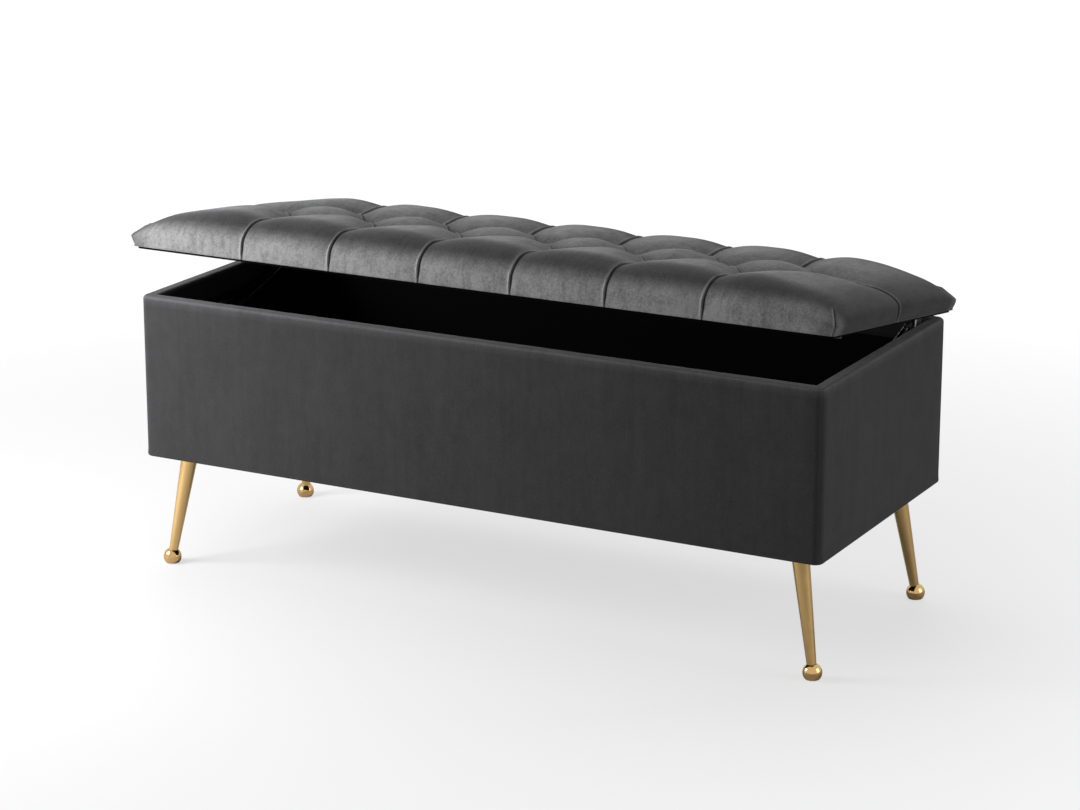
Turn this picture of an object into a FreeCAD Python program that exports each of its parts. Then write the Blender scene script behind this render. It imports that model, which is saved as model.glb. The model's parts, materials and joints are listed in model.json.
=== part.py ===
"""Storage bench: an upholstered box on four splayed legs under a hinged, deep-tufted lid.

Millimetres. The origin is on the floor under the middle of the box. +X runs along the bench,
+Y points to the hinged rear side and +Z points up. The lid is drawn shut and then swung
open about its hinge line to its stored angle. Two gas struts hold it there.
"""

import os

import FreeCAD
import Part
from math import cos, hypot, radians, sin

Vec = FreeCAD.Vector
X_AXIS = Vec(1, 0, 0)
Y_AXIS = Vec(0, 1, 0)
Z_AXIS = Vec(0, 0, 1)
QUARTER_TURN = 90.0

# Box
BOX_LENGTH = 1082.0
BOX_DEPTH = 438.0
BOX_HEIGHT = 243.5
LEG_HEIGHT = 172.5
BOX_CORNER_RADIUS = 9.0
BOARD_THICKNESS = 15.0

# Velvet box covers, each with its wadding
COVER_THICKNESS = 4.5
RIM_PADDING = 5.0
RIM_EDGE_RADIUS = 4.0
TURN_DOWN_DEPTH = 35.0
TURN_DOWN_THICKNESS = 2.5
TURN_IN_WIDTH = 18.0
TURN_IN_THICKNESS = 2.0

# Floor of the compartment and the underside
FLOOR_THICKNESS = 9.0
LINING_THICKNESS = 1.0
BLOCK_SIDE = 80.0
BLOCK_HEIGHT = 25.0
BATTEN_WIDTH = 20.0
DUST_COVER_THICKNESS = 0.8

# Legs and feet
LEG_INSET_X = 49.0
LEG_INSET_Y = 47.3
LEG_SPLAY_X = 28.0
LEG_SPLAY_Y = 14.3
LEG_TOP_RADIUS = 12.5
LEG_FOOT_RADIUS = 6.3
LEG_WALL = 1.5
LEG_END_PLUG = 12.0
PLATE_SIDE = 48.0
PLATE_THICKNESS = 2.5
PLATE_SCREW_OFFSET = 17.0
BALL_RADIUS = 13.5
BALL_CENTRE_HEIGHT = 9.5
GLIDE_RADIUS = 7.0
GLIDE_THICKNESS = 2.3
GLIDE_PROUD = 0.8
STUD_RADIUS = 3.0
STUD_IN_BALL = 5.0
STUD_IN_LEG = 9.0

# Butt hinges
HINGE_END_MARGIN = 161.0
HINGE_SETBACK = 3.0
LID_GAP = 7.5
LEAF_LENGTH = 60.0
LEAF_WIDTH = 23.0
LEAF_THICKNESS = 1.8
KNUCKLES = 5
KNUCKLE_GAP = 0.3
HINGE_PIN_RADIUS = 1.8
HINGE_PIN_CLEARANCE = 0.05
HINGE_PIN_HEAD_RADIUS = 2.8
HINGE_PIN_HEAD = 1.0
HINGE_SCREW_SPACING = 20.0

# Lid
LID_OVERHANG_X = 9.0
LID_OVERHANG_Y = 1.0
LID_SHIFT_Y = -1.5
LID_OPEN_ANGLE = 8.0
UNDER_PANEL_THICKNESS = 3.0
UNDER_PANEL_INSET = 2.0
LID_BOARD_THICKNESS = 12.0
LID_BOARD_INSET = 6.0
CUSHION_HEIGHT = 64.5
CUSHION_EDGE_RADIUS = 38.0
LID_CORNER_RADIUS = 14.0
LID_COVER_THICKNESS = 2.0
BUMPER_RADIUS = 6.0
BUMPER_CLEARANCE = 0.3
BUMPER_FRONT_MARGIN = 64.0

# Deep tufting: rows of 6, 7 and 6 buttons
TUFT_END_MARGIN = 115.0
TUFT_SIDE_MARGIN = 132.0
TUFT_OUTER_ROW = 6
TUFT_DEPTH = 26.0
TUFT_MOUTH_RADIUS = 22.0
TUFT_FLOOR_RADIUS = 11.0
BUTTON_RADIUS = 10.0
BUTTON_HEIGHT = 6.0
PRONG_RADIUS = 1.5
PRONG_IN_BOARD = 8.0

# Gas struts, one at each end of the compartment
STRUT_WALL_OFFSET = 14.0
STRUT_LEVER = 45.0
STRUT_PIVOT_DROP = 14.0
STRUT_SLOPE = 16.0
STRUT_LENGTH = 210.0
STRUT_BALL_RADIUS = 4.0
STRUT_BALL_CLEARANCE = 0.05
STRUT_NECK_RADIUS = 2.5
STRUT_FLANGE_RADIUS = 5.0
STRUT_FLANGE = 1.5
SOCKET_RADIUS = 7.0
SOCKET_WIDTH = 11.0
SOCKET_NECK_RADIUS = 5.5
SOCKET_NECK_END = 22.0
CYLINDER_RADIUS = 7.5
CYLINDER_WALL = 1.2
CYLINDER_LENGTH = 84.0
CYLINDER_END_WALL = 3.0
CYLINDER_GUIDE = 8.0
ROD_RADIUS = 4.0
ROD_CLEARANCE = 0.05
ROD_IN_CYLINDER = 48.0
ROD_IN_SOCKET = 10.0
PISTON_LENGTH = 6.0
PISTON_CLEARANCE = 0.1
BRACKET_THICKNESS = 2.0
BOX_BRACKET_LENGTH = 40.0
BOX_BRACKET_HEIGHT = 24.0
BOX_BRACKET_SCREW_OFFSET = 13.0
LID_BRACKET_LENGTH = 44.0
LID_BRACKET_WIDTH = 24.0
LID_BRACKET_SCREW_OFFSET = 15.0
EAR_LENGTH = 20.0
EAR_BELOW_PIVOT = 8.0
EAR_GAP = 0.3

# A unit vector's part along an axis above which it counts as lying along that axis, and the
# difference within which two heights count as one
MOSTLY = 0.5
SAME_HEIGHT = 0.05

# Screws: shank radius, head radius, length
SCREW_CLEARANCE = 0.05
LEG_SCREW = (2.0, 4.0, 22.0)
PANEL_SCREW = (2.5, 5.0, 50.0)
FLOOR_SCREW = (2.0, 4.0, 25.0)
HINGE_BOX_SCREW = (1.75, 3.4, 25.0)
HINGE_LID_SCREW = (1.75, 3.4, 14.0)
BRACKET_SCREW = (1.75, 3.4, 13.0)
PANEL_SCREWS_PER_CORNER = 3
PANEL_SCREW_END_MARGIN = 30.0
FLOOR_SCREWS_PER_ROW = 7
FLOOR_SCREW_END_MARGIN = 25.0

# Levels
BOX_BOTTOM = LEG_HEIGHT
RIM_TOP = BOX_BOTTOM + BOX_HEIGHT
BOARD_BOTTOM = BOX_BOTTOM + TURN_IN_THICKNESS
BOARD_TOP = RIM_TOP - RIM_PADDING
FLOOR_BOTTOM = BOARD_BOTTOM + BLOCK_HEIGHT
FLOOR_TOP = FLOOR_BOTTOM + FLOOR_THICKNESS
TURN_DOWN_BOTTOM = RIM_TOP - TURN_DOWN_DEPTH
DUST_COVER_BOTTOM = BOARD_BOTTOM - DUST_COVER_THICKNESS
PLATE_BOTTOM = DUST_COVER_BOTTOM - PLATE_THICKNESS
LID_BOTTOM = RIM_TOP + LID_GAP
LID_BOARD_BOTTOM = LID_BOTTOM + UNDER_PANEL_THICKNESS
LID_BOARD_TOP = LID_BOARD_BOTTOM + LID_BOARD_THICKNESS
CUSHION_TOP = LID_BOARD_BOTTOM + CUSHION_HEIGHT

# Half sizes of the box, of its boards' outside and of the space between them
HALF_LENGTH = BOX_LENGTH / 2
HALF_DEPTH = BOX_DEPTH / 2
BOARD_HALF_LENGTH = HALF_LENGTH - COVER_THICKNESS
BOARD_HALF_DEPTH = HALF_DEPTH - COVER_THICKNESS
INNER_HALF_LENGTH = BOARD_HALF_LENGTH - BOARD_THICKNESS
INNER_HALF_DEPTH = BOARD_HALF_DEPTH - BOARD_THICKNESS
BOARD_CORNER_RADIUS = BOX_CORNER_RADIUS - COVER_THICKNESS

# Outline of the lid
LID_HALF_LENGTH = HALF_LENGTH + LID_OVERHANG_X
LID_HALF_DEPTH = HALF_DEPTH + LID_OVERHANG_Y

# Hinge line and the plane that each strut lies in
HINGE_Y = HALF_DEPTH + HINGE_SETBACK
BARREL_RADIUS = LID_GAP / 2
HINGE_Z = RIM_TOP + BARREL_RADIUS
HINGE_POINT = Vec(0, HINGE_Y, HINGE_Z)
STRUT_X = INNER_HALF_LENGTH - TURN_DOWN_THICKNESS - STRUT_WALL_OFFSET

CORNERS = [(side_x, side_y) for side_x in (-1, 1) for side_y in (-1, 1)]
CORNER_NAMES = {(-1, -1): "front_left", (1, -1): "front_right", (-1, 1): "rear_left", (1, 1): "rear_right"}
SIDES = {"left": -1, "right": 1}


def block(x_range, y_range, z_range):
    """Return the box between two x, two y and two z values."""
    corner = Vec(x_range[0], y_range[0], z_range[0])
    size = (x_range[1] - x_range[0], y_range[1] - y_range[0], z_range[1] - z_range[0])
    return Part.makeBox(*size, corner)


def span(middle, half):
    """Return the pair of values that lie half to each side of middle."""
    return (middle - half, middle + half)


def rounded_prism(half_x, half_y, z_range, radius, middle_y=0.0):
    """Return an upright prism with rounded vertical edges, centred on x = 0 and y = middle_y."""
    prism = block(span(0, half_x), span(middle_y, half_y), z_range)
    upright = [edge for edge in prism.Edges if abs(edge.tangentAt(0).z) > MOSTLY]
    return prism.makeFillet(radius, upright)


def ring(outer, inner):
    """Return the solid between an outer prism and an inner one."""
    return outer.cut(inner)


def rod_between(start, end, radius):
    """Return a round bar from one point to another."""
    run = end.sub(start)
    return Part.makeCylinder(radius, run.Length, start, run)


def ball(centre, radius):
    """Return a sphere whose seam faces +Y, away from necks that run along X."""
    sphere = Part.makeSphere(radius, centre)
    sphere.rotate(centre, Z_AXIS, QUARTER_TURN)
    return sphere


def screw(head, direction, size):
    """Return a countersunk screw whose flat head lies at head, pointing along direction."""
    shank_radius, head_radius, length = size
    sink = head_radius - shank_radius
    head_cone = Part.makeCone(head_radius, shank_radius, sink, head, direction)
    shank = Part.makeCylinder(shank_radius, length, head, direction)
    return shank.fuse(head_cone).removeSplitter()


def screw_hole(head, direction, size):
    """Return the space that a screw takes in what it holds."""
    shank_radius, head_radius, length = size
    return screw(head, direction, (shank_radius + SCREW_CLEARANCE, head_radius, length + SCREW_CLEARANCE))


def swing_open(shape, angle=LID_OPEN_ANGLE):
    """Return a copy of a shut lid piece, turned open about the hinge line."""
    turned = shape.copy()
    turned.rotate(HINGE_POINT, X_AXIS, -angle)
    return turned


def swing_point(point, angle=LID_OPEN_ANGLE):
    """Return where a point of the shut lid goes when the lid opens."""
    turn = FreeCAD.Rotation(X_AXIS, -angle)
    return HINGE_POINT.add(turn.multVec(point.sub(HINGE_POINT)))


# ---- Screw places that more than one piece needs ----


def panel_screw_places():
    """Return (head, direction) of the screws through the long boards into the end boards."""
    lowest = BOARD_BOTTOM + PANEL_SCREW_END_MARGIN
    highest = BOARD_TOP - PANEL_SCREW_END_MARGIN
    step = (highest - lowest) / (PANEL_SCREWS_PER_CORNER - 1)
    x = INNER_HALF_LENGTH + BOARD_THICKNESS / 2
    places = []
    for side_x, side_y in CORNERS:
        for index in range(PANEL_SCREWS_PER_CORNER):
            head = Vec(side_x * x, side_y * BOARD_HALF_DEPTH, lowest + index * step)
            places.append((head, Vec(0, -side_y, 0)))
    return places


def floor_screw_places():
    """Return (head, direction) of the screws through the floor into the battens and blocks."""
    first = -(INNER_HALF_LENGTH - FLOOR_SCREW_END_MARGIN)
    step = -2 * first / (FLOOR_SCREWS_PER_ROW - 1)
    y = INNER_HALF_DEPTH - BATTEN_WIDTH / 2
    places = []
    for side_y in (-1, 1):
        for index in range(FLOOR_SCREWS_PER_ROW):
            places.append((Vec(first + index * step, side_y * y, FLOOR_TOP), Vec(0, 0, -1)))
    return places


def leg_screw_places(side_x, side_y):
    """Return (head, direction) of the four screws of one leg plate."""
    x = side_x * (HALF_LENGTH - LEG_INSET_X)
    y = side_y * (HALF_DEPTH - LEG_INSET_Y)
    offset = PLATE_SCREW_OFFSET
    return [(Vec(x + i * offset, y + j * offset, PLATE_BOTTOM), Z_AXIS) for i, j in CORNERS]


def hinge_places():
    """Return the x of each hinge's middle."""
    outer = HALF_LENGTH - HINGE_END_MARGIN
    return [-outer, 0.0, outer]


def hinge_screw_places(z, direction):
    """Return (head, direction) of the screws of one leaf of every hinge, heads at height z."""
    y = INNER_HALF_DEPTH + BOARD_THICKNESS / 2
    places = []
    for middle in hinge_places():
        for index in (-1, 0, 1):
            places.append((Vec(middle + index * HINGE_SCREW_SPACING, y, z), direction))
    return places


def strut_box_pivot(side_x):
    """Return the ball centre on the end wall."""
    top = strut_lid_pivot(side_x)
    along = strut_direction()
    return top.sub(along * STRUT_LENGTH)


def strut_lid_pivot(side_x):
    """Return the ball centre under the lid, at the lid's stored angle."""
    shut = Vec(side_x * STRUT_X, HINGE_Y - STRUT_LEVER, LID_BOTTOM - STRUT_PIVOT_DROP)
    return swing_point(shut)


def strut_direction():
    """Return the direction from the box pivot to the lid pivot at the stored angle."""
    return Vec(0, cos(radians(STRUT_SLOPE)), sin(radians(STRUT_SLOPE)))


def box_bracket_screw_places(side_x):
    """Return (head, direction) of the screws of one bracket on the end wall."""
    pivot = strut_box_pivot(side_x)
    x = side_x * (INNER_HALF_LENGTH - LINING_THICKNESS - BRACKET_THICKNESS)
    offsets = (-BOX_BRACKET_SCREW_OFFSET, BOX_BRACKET_SCREW_OFFSET)
    return [(Vec(x, pivot.y + offset, pivot.z), Vec(side_x, 0, 0)) for offset in offsets]


def lid_bracket_screw_places(side_x):
    """Return (head, direction) of the screws of one bracket on the shut lid."""
    x = side_x * (STRUT_X - SOCKET_WIDTH / 2)
    y = HINGE_Y - STRUT_LEVER
    offsets = (-LID_BRACKET_SCREW_OFFSET, LID_BRACKET_SCREW_OFFSET)
    return [(Vec(x, y + offset, LID_BOTTOM - BRACKET_THICKNESS), Z_AXIS) for offset in offsets]


def tuft_places():
    """Return the (x, y) of every tuft of the shut lid, row by row."""
    pitch = 2 * (LID_HALF_LENGTH - TUFT_END_MARGIN) / TUFT_OUTER_ROW
    row_spacing = LID_HALF_DEPTH - TUFT_SIDE_MARGIN
    places = []
    for row in (-1, 0, 1):
        count = TUFT_OUTER_ROW + 1 if row == 0 else TUFT_OUTER_ROW
        first = -pitch * (count - 1) / 2
        for index in range(count):
            places.append((first + index * pitch, LID_SHIFT_Y + row * row_spacing))
    return places


def drilled(shape, places, size):
    """Return a shape with the holes of the screws at the given places."""
    return shape.cut([screw_hole(head, direction, size) for head, direction in places])


def screws(places, size):
    """Return one group of loose screws."""
    return Part.makeCompound([screw(head, direction, size) for head, direction in places])


# ---- Box ----


def box_boards():
    """Return the four boards of the box, the long ones covering the ends of the short ones."""
    places = panel_screw_places()
    z_range = (BOARD_BOTTOM, BOARD_TOP)
    shell = rounded_prism(BOARD_HALF_LENGTH, BOARD_HALF_DEPTH, z_range, BOARD_CORNER_RADIUS)
    boards = {}
    for name, side_y in (("front_board", -1), ("rear_board", 1)):
        y_range = sorted((side_y * INNER_HALF_DEPTH, side_y * BOARD_HALF_DEPTH))
        slab = block(span(0, BOARD_HALF_LENGTH), y_range, (BOARD_BOTTOM, BOARD_TOP))
        boards[name] = drilled(slab.common(shell), places, PANEL_SCREW)
    for side, side_x in SIDES.items():
        x_range = sorted((side_x * INNER_HALF_LENGTH, side_x * BOARD_HALF_LENGTH))
        slab = block(x_range, span(0, INNER_HALF_DEPTH), (BOARD_BOTTOM, BOARD_TOP))
        slab = drilled(slab, places, PANEL_SCREW)
        boards[side + "_end_board"] = drilled(slab, box_bracket_screw_places(side_x), BRACKET_SCREW)
    leaf_top = RIM_TOP + LEAF_THICKNESS
    hinge_screws = hinge_screw_places(leaf_top, Vec(0, 0, -1))
    boards["rear_board"] = drilled(boards["rear_board"], hinge_screws, HINGE_BOX_SCREW)
    return boards


def box_cover_sleeve():
    """Return all four box covers as one sleeve: outside, padded rim, turn-down and turn-in."""
    full_height = (BOX_BOTTOM, RIM_TOP)
    board_outside = rounded_prism(BOARD_HALF_LENGTH, BOARD_HALF_DEPTH, full_height, BOARD_CORNER_RADIUS)
    skin = ring(rounded_prism(HALF_LENGTH, HALF_DEPTH, full_height, BOX_CORNER_RADIUS), board_outside)
    mouth = block(
        span(0, INNER_HALF_LENGTH - TURN_DOWN_THICKNESS),
        span(0, INNER_HALF_DEPTH - TURN_DOWN_THICKNESS),
        full_height,
    )
    above_boards = block(span(0, HALF_LENGTH), span(0, HALF_DEPTH), (BOARD_TOP, RIM_TOP))
    rim = ring(board_outside.common(above_boards), mouth)
    turn_down_range = (TURN_DOWN_BOTTOM, BOARD_TOP)
    turn_down = ring(block(span(0, INNER_HALF_LENGTH), span(0, INNER_HALF_DEPTH), turn_down_range), mouth)
    below_boards = block(span(0, HALF_LENGTH), span(0, HALF_DEPTH), (BOX_BOTTOM, BOARD_BOTTOM))
    underside = block(
        span(0, BOARD_HALF_LENGTH - TURN_IN_WIDTH), span(0, BOARD_HALF_DEPTH - TURN_IN_WIDTH), full_height
    )
    turn_in = ring(board_outside.common(below_boards), underside)
    sleeve = skin.fuse([rim, turn_down, turn_in]).removeSplitter()
    return round_rim(sleeve)


def round_rim(sleeve):
    """Return the sleeve with its outer top edge rounded."""
    outline = []
    for edge in sleeve.Edges:
        box = edge.BoundBox
        at_top = box.ZMin > RIM_TOP - SAME_HEIGHT
        outside = max(abs(box.XMax), abs(box.XMin)) > BOARD_HALF_LENGTH
        outside = outside or max(abs(box.YMax), abs(box.YMin)) > BOARD_HALF_DEPTH
        if at_top and outside:
            outline.append(edge)
    return sleeve.makeFillet(RIM_EDGE_RADIUS, outline)


def box_covers():
    """Return the four velvet covers, which meet in mitred seams at the corners."""
    sleeve = box_cover_sleeve()
    length = HALF_LENGTH
    depth = HALF_DEPTH
    ridge = HALF_LENGTH - HALF_DEPTH
    covers = {}
    outlines = {
        "front_cover": [(-length, -depth), (length, -depth), (ridge, 0), (-ridge, 0)],
        "rear_cover": [(-length, depth), (length, depth), (ridge, 0), (-ridge, 0)],
        "left_end_cover": [(-length, -depth), (-ridge, 0), (-length, depth)],
        "right_end_cover": [(length, -depth), (ridge, 0), (length, depth)],
    }
    for name, outline in outlines.items():
        points = [Vec(x, y, BOX_BOTTOM) for x, y in outline]
        face = Part.Face(Part.makePolygon(points + points[:1]))
        covers[name] = sleeve.common(face.extrude(Vec(0, 0, BOX_HEIGHT)))
    leaf_top = RIM_TOP + LEAF_THICKNESS
    hinge_screws = hinge_screw_places(leaf_top, Vec(0, 0, -1))
    covers["rear_cover"] = drilled(covers["rear_cover"], hinge_screws, HINGE_BOX_SCREW)
    return covers


def compartment_floor():
    """Return the floor panel, its battens, corner blocks, lining and dust cover."""
    inside = (span(0, INNER_HALF_LENGTH), span(0, INNER_HALF_DEPTH))
    floor_screws = floor_screw_places()
    pieces = {}
    pieces["floor_panel"] = drilled(block(*inside, (FLOOR_BOTTOM, FLOOR_TOP)), floor_screws, FLOOR_SCREW)
    support = (BOARD_BOTTOM, FLOOR_BOTTOM)
    for side_x, side_y in CORNERS:
        x_range = sorted((side_x * INNER_HALF_LENGTH, side_x * (INNER_HALF_LENGTH - BLOCK_SIDE)))
        y_range = sorted((side_y * INNER_HALF_DEPTH, side_y * (INNER_HALF_DEPTH - BLOCK_SIDE)))
        wood = drilled(block(x_range, y_range, support), floor_screws, FLOOR_SCREW)
        wood = drilled(wood, leg_screw_places(side_x, side_y), LEG_SCREW)
        pieces[CORNER_NAMES[(side_x, side_y)] + "_corner_block"] = wood
    battens = []
    for side_y in (-1, 1):
        y_range = sorted((side_y * INNER_HALF_DEPTH, side_y * (INNER_HALF_DEPTH - BATTEN_WIDTH)))
        batten = block(span(0, INNER_HALF_LENGTH - BLOCK_SIDE), y_range, support)
        battens.append(drilled(batten, floor_screws, FLOOR_SCREW))
    pieces["floor_battens"] = Part.makeCompound(battens)
    hollow = block(
        span(0, INNER_HALF_LENGTH - LINING_THICKNESS),
        span(0, INNER_HALF_DEPTH - LINING_THICKNESS),
        (FLOOR_TOP + LINING_THICKNESS, TURN_DOWN_BOTTOM),
    )
    lining = block(*inside, (FLOOR_TOP, TURN_DOWN_BOTTOM)).cut(hollow)
    for side_x in SIDES.values():
        lining = drilled(lining, box_bracket_screw_places(side_x), BRACKET_SCREW)
    pieces["compartment_lining"] = lining
    dust_cover = block(
        span(0, BOARD_HALF_LENGTH - TURN_IN_WIDTH),
        span(0, BOARD_HALF_DEPTH - TURN_IN_WIDTH),
        (DUST_COVER_BOTTOM, BOARD_BOTTOM),
    )
    for side_x, side_y in CORNERS:
        dust_cover = drilled(dust_cover, leg_screw_places(side_x, side_y), LEG_SCREW)
    pieces["dust_cover"] = dust_cover
    return pieces


# ---- Legs ----


def leg_line(side_x, side_y):
    """Return the points where a leg's axis meets its plate and the middle of its ball foot."""
    top_x = HALF_LENGTH - LEG_INSET_X
    top_y = HALF_DEPTH - LEG_INSET_Y
    top = Vec(side_x * top_x, side_y * top_y, PLATE_BOTTOM)
    foot = Vec(side_x * (top_x + LEG_SPLAY_X), side_y * (top_y + LEG_SPLAY_Y), BALL_CENTRE_HEIGHT)
    return top, foot


def tapered_bar(foot, along, start, end, radius_at):
    """Return a round bar on the leg's axis, between two distances from the ball's middle."""
    base = foot.add(along * start)
    return Part.makeCone(radius_at(start), radius_at(end), end - start, base, along)


def leg_pieces(side_x, side_y):
    """Return the plate, tube, ball foot, stud and glide of one leg."""
    top, foot = leg_line(side_x, side_y)
    run = top.sub(foot)
    along = Vec(run.x / run.Length, run.y / run.Length, run.z / run.Length)
    taper = (LEG_TOP_RADIUS - LEG_FOOT_RADIUS) / run.Length

    def outside(distance):
        return LEG_FOOT_RADIUS + taper * distance

    def inside(distance):
        return outside(distance) - LEG_WALL

    reach = run.Length + LEG_TOP_RADIUS
    ball_solid = Part.makeSphere(BALL_RADIUS, foot)
    stud_top = foot.add(along * (BALL_RADIUS + STUD_IN_LEG))
    stud = rod_between(foot.sub(along * STUD_IN_BALL), stud_top, STUD_RADIUS)
    plug_end = BALL_RADIUS + LEG_END_PLUG
    above_plate = block(span(top.x, reach), span(top.y, reach), (PLATE_BOTTOM, PLATE_BOTTOM + reach))
    bore = tapered_bar(foot, along, plug_end, reach, inside)
    tube = tapered_bar(foot, along, 0, reach, outside).cut([bore, above_plate, ball_solid, stud])
    base_range = (GLIDE_PROUD - BALL_RADIUS, GLIDE_PROUD)
    base_slab = block(span(foot.x, BALL_RADIUS), span(foot.y, BALL_RADIUS), base_range)
    glide = Part.makeCylinder(GLIDE_RADIUS, GLIDE_THICKNESS, Vec(foot.x, foot.y, 0))
    ball = ball_solid.cut([base_slab, stud, glide])
    plate_range = (PLATE_BOTTOM, DUST_COVER_BOTTOM)
    plate = block(span(top.x, PLATE_SIDE / 2), span(top.y, PLATE_SIDE / 2), plate_range)
    plate = drilled(plate, leg_screw_places(side_x, side_y), LEG_SCREW)
    return plate, tube, ball, stud, glide


def legs():
    """Return the pieces of all four legs."""
    pieces = {}
    studs = []
    glides = []
    plates = []
    places = []
    for corner in CORNERS:
        plate, tube, ball, stud, glide = leg_pieces(*corner)
        name = CORNER_NAMES[corner]
        pieces[name + "_leg"] = tube
        pieces[name + "_ball_foot"] = ball
        plates.append(plate)
        studs.append(stud)
        glides.append(glide)
        places += leg_screw_places(*corner)
    pieces["leg_plates"] = Part.makeCompound(plates)
    pieces["foot_studs"] = Part.makeCompound(studs)
    pieces["foot_glides"] = Part.makeCompound(glides)
    pieces["leg_screws"] = screws(places, LEG_SCREW)
    return pieces


# ---- Hinges ----


def hinge_leaf(middle, of_lid):
    """Return one leaf of the hinge at x = middle, with its own knuckles of the barrel."""
    knuckle = LEAF_LENGTH / KNUCKLES
    first = middle - LEAF_LENGTH / 2
    z_low = LID_BOTTOM - LEAF_THICKNESS if of_lid else RIM_TOP
    z_range = (z_low, z_low + LEAF_THICKNESS)
    plate_end = HINGE_Y - BARREL_RADIUS - KNUCKLE_GAP
    leaf = block((first, first + LEAF_LENGTH), (HINGE_Y - LEAF_WIDTH, plate_end), z_range)
    own = range(1, KNUCKLES, 2) if of_lid else range(0, KNUCKLES, 2)
    for index in own:
        start = first + index * knuckle + KNUCKLE_GAP / 2
        length = knuckle - KNUCKLE_GAP
        tab = block((start, start + length), (plate_end, HINGE_Y), z_range)
        barrel = Part.makeCylinder(BARREL_RADIUS, length, Vec(start, HINGE_Y, HINGE_Z), X_AXIS)
        leaf = leaf.fuse([tab, barrel])
    bore_radius = HINGE_PIN_RADIUS + HINGE_PIN_CLEARANCE
    bore = Part.makeCylinder(bore_radius, LEAF_LENGTH, Vec(first, HINGE_Y, HINGE_Z), X_AXIS)
    leaf = leaf.cut(bore).removeSplitter()
    if of_lid:
        return drilled(leaf, hinge_screw_places(z_low, Z_AXIS), HINGE_LID_SCREW)
    return drilled(leaf, hinge_screw_places(z_range[1], Vec(0, 0, -1)), HINGE_BOX_SCREW)


def hinge_pin(middle):
    """Return the pin of the hinge at x = middle, with a small head at each end."""
    start = Vec(middle - LEAF_LENGTH / 2, HINGE_Y, HINGE_Z)
    pin = Part.makeCylinder(HINGE_PIN_RADIUS, LEAF_LENGTH, start, X_AXIS)
    heads = [start.sub(X_AXIS * HINGE_PIN_HEAD), start.add(X_AXIS * LEAF_LENGTH)]
    for head in heads:
        pin = pin.fuse(Part.makeCylinder(HINGE_PIN_HEAD_RADIUS, HINGE_PIN_HEAD, head, X_AXIS))
    return pin


def hinges():
    """Return the pieces of the hinges that stay on the box, and those that go with the lid."""
    fixed = {}
    moving = {}
    for number, middle in enumerate(hinge_places(), start=1):
        fixed[f"hinge_{number}_box_leaf"] = hinge_leaf(middle, of_lid=False)
        moving[f"hinge_{number}_lid_leaf"] = hinge_leaf(middle, of_lid=True)
    fixed["hinge_pins"] = Part.makeCompound([hinge_pin(middle) for middle in hinge_places()])
    box_places = hinge_screw_places(RIM_TOP + LEAF_THICKNESS, Vec(0, 0, -1))
    lid_places = hinge_screw_places(LID_BOTTOM - LEAF_THICKNESS, Z_AXIS)
    fixed["hinge_box_screws"] = screws(box_places, HINGE_BOX_SCREW)
    moving["hinge_lid_screws"] = screws(lid_places, HINGE_LID_SCREW)
    return fixed, moving


# ---- Lid, drawn shut ----


def cushion_blank(inset, top):
    """Return the cushion's outer form, inset on every side, with its top at the given height.

    It is where three forms overlap: one rounded over the ends, one rounded over the front and
    rear, and an upright prism with small corners.
    """
    half_x = LID_HALF_LENGTH - inset
    half_y = LID_HALF_DEPTH - inset
    z_range = (LID_BOARD_BOTTOM, top)
    blank = rounded_prism(half_x, half_y, z_range, LID_CORNER_RADIUS - inset, LID_SHIFT_Y)
    slab = block(span(0, half_x), span(LID_SHIFT_Y, half_y), z_range)
    top_edges = [edge for edge in slab.Edges if edge.BoundBox.ZMin > top - SAME_HEIGHT]
    for over_ends in (True, False):
        pair = [edge for edge in top_edges if (abs(edge.tangentAt(0).y) > MOSTLY) == over_ends]
        blank = blank.common(slab.makeFillet(CUSHION_EDGE_RADIUS - inset, pair))
    return blank


def tuft_pits(grow):
    """Return the pits of all the tufts, grown by a thickness all round."""
    floor = CUSHION_TOP - TUFT_DEPTH - grow
    pits = []
    for x, y in tuft_places():
        depth = TUFT_DEPTH + grow
        pits.append(
            Part.makeCone(TUFT_FLOOR_RADIUS + grow, TUFT_MOUTH_RADIUS + grow, depth, Vec(x, y, floor))
        )
    return pits


def tuft_button(x, y):
    """Return one covered button with the prong that ties it to the lid board."""
    seat = CUSHION_TOP - TUFT_DEPTH
    dome_radius = (BUTTON_RADIUS**2 + BUTTON_HEIGHT**2) / (2 * BUTTON_HEIGHT)
    dome = Part.makeSphere(dome_radius, Vec(x, y, seat + BUTTON_HEIGHT - dome_radius))
    slab = block(span(x, BUTTON_RADIUS), span(y, BUTTON_RADIUS), (seat, seat + BUTTON_HEIGHT))
    prong = rod_between(Vec(x, y, LID_BOARD_TOP - PRONG_IN_BOARD), Vec(x, y, seat), PRONG_RADIUS)
    return dome.common(slab).fuse(prong)


def lid_panel(inset, z_range):
    """Return a flat panel of the lid, inset from its outline on every side."""
    half_x = LID_HALF_LENGTH - inset
    half_y = LID_HALF_DEPTH - inset
    return rounded_prism(half_x, half_y, z_range, LID_CORNER_RADIUS - inset, LID_SHIFT_Y)


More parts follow.
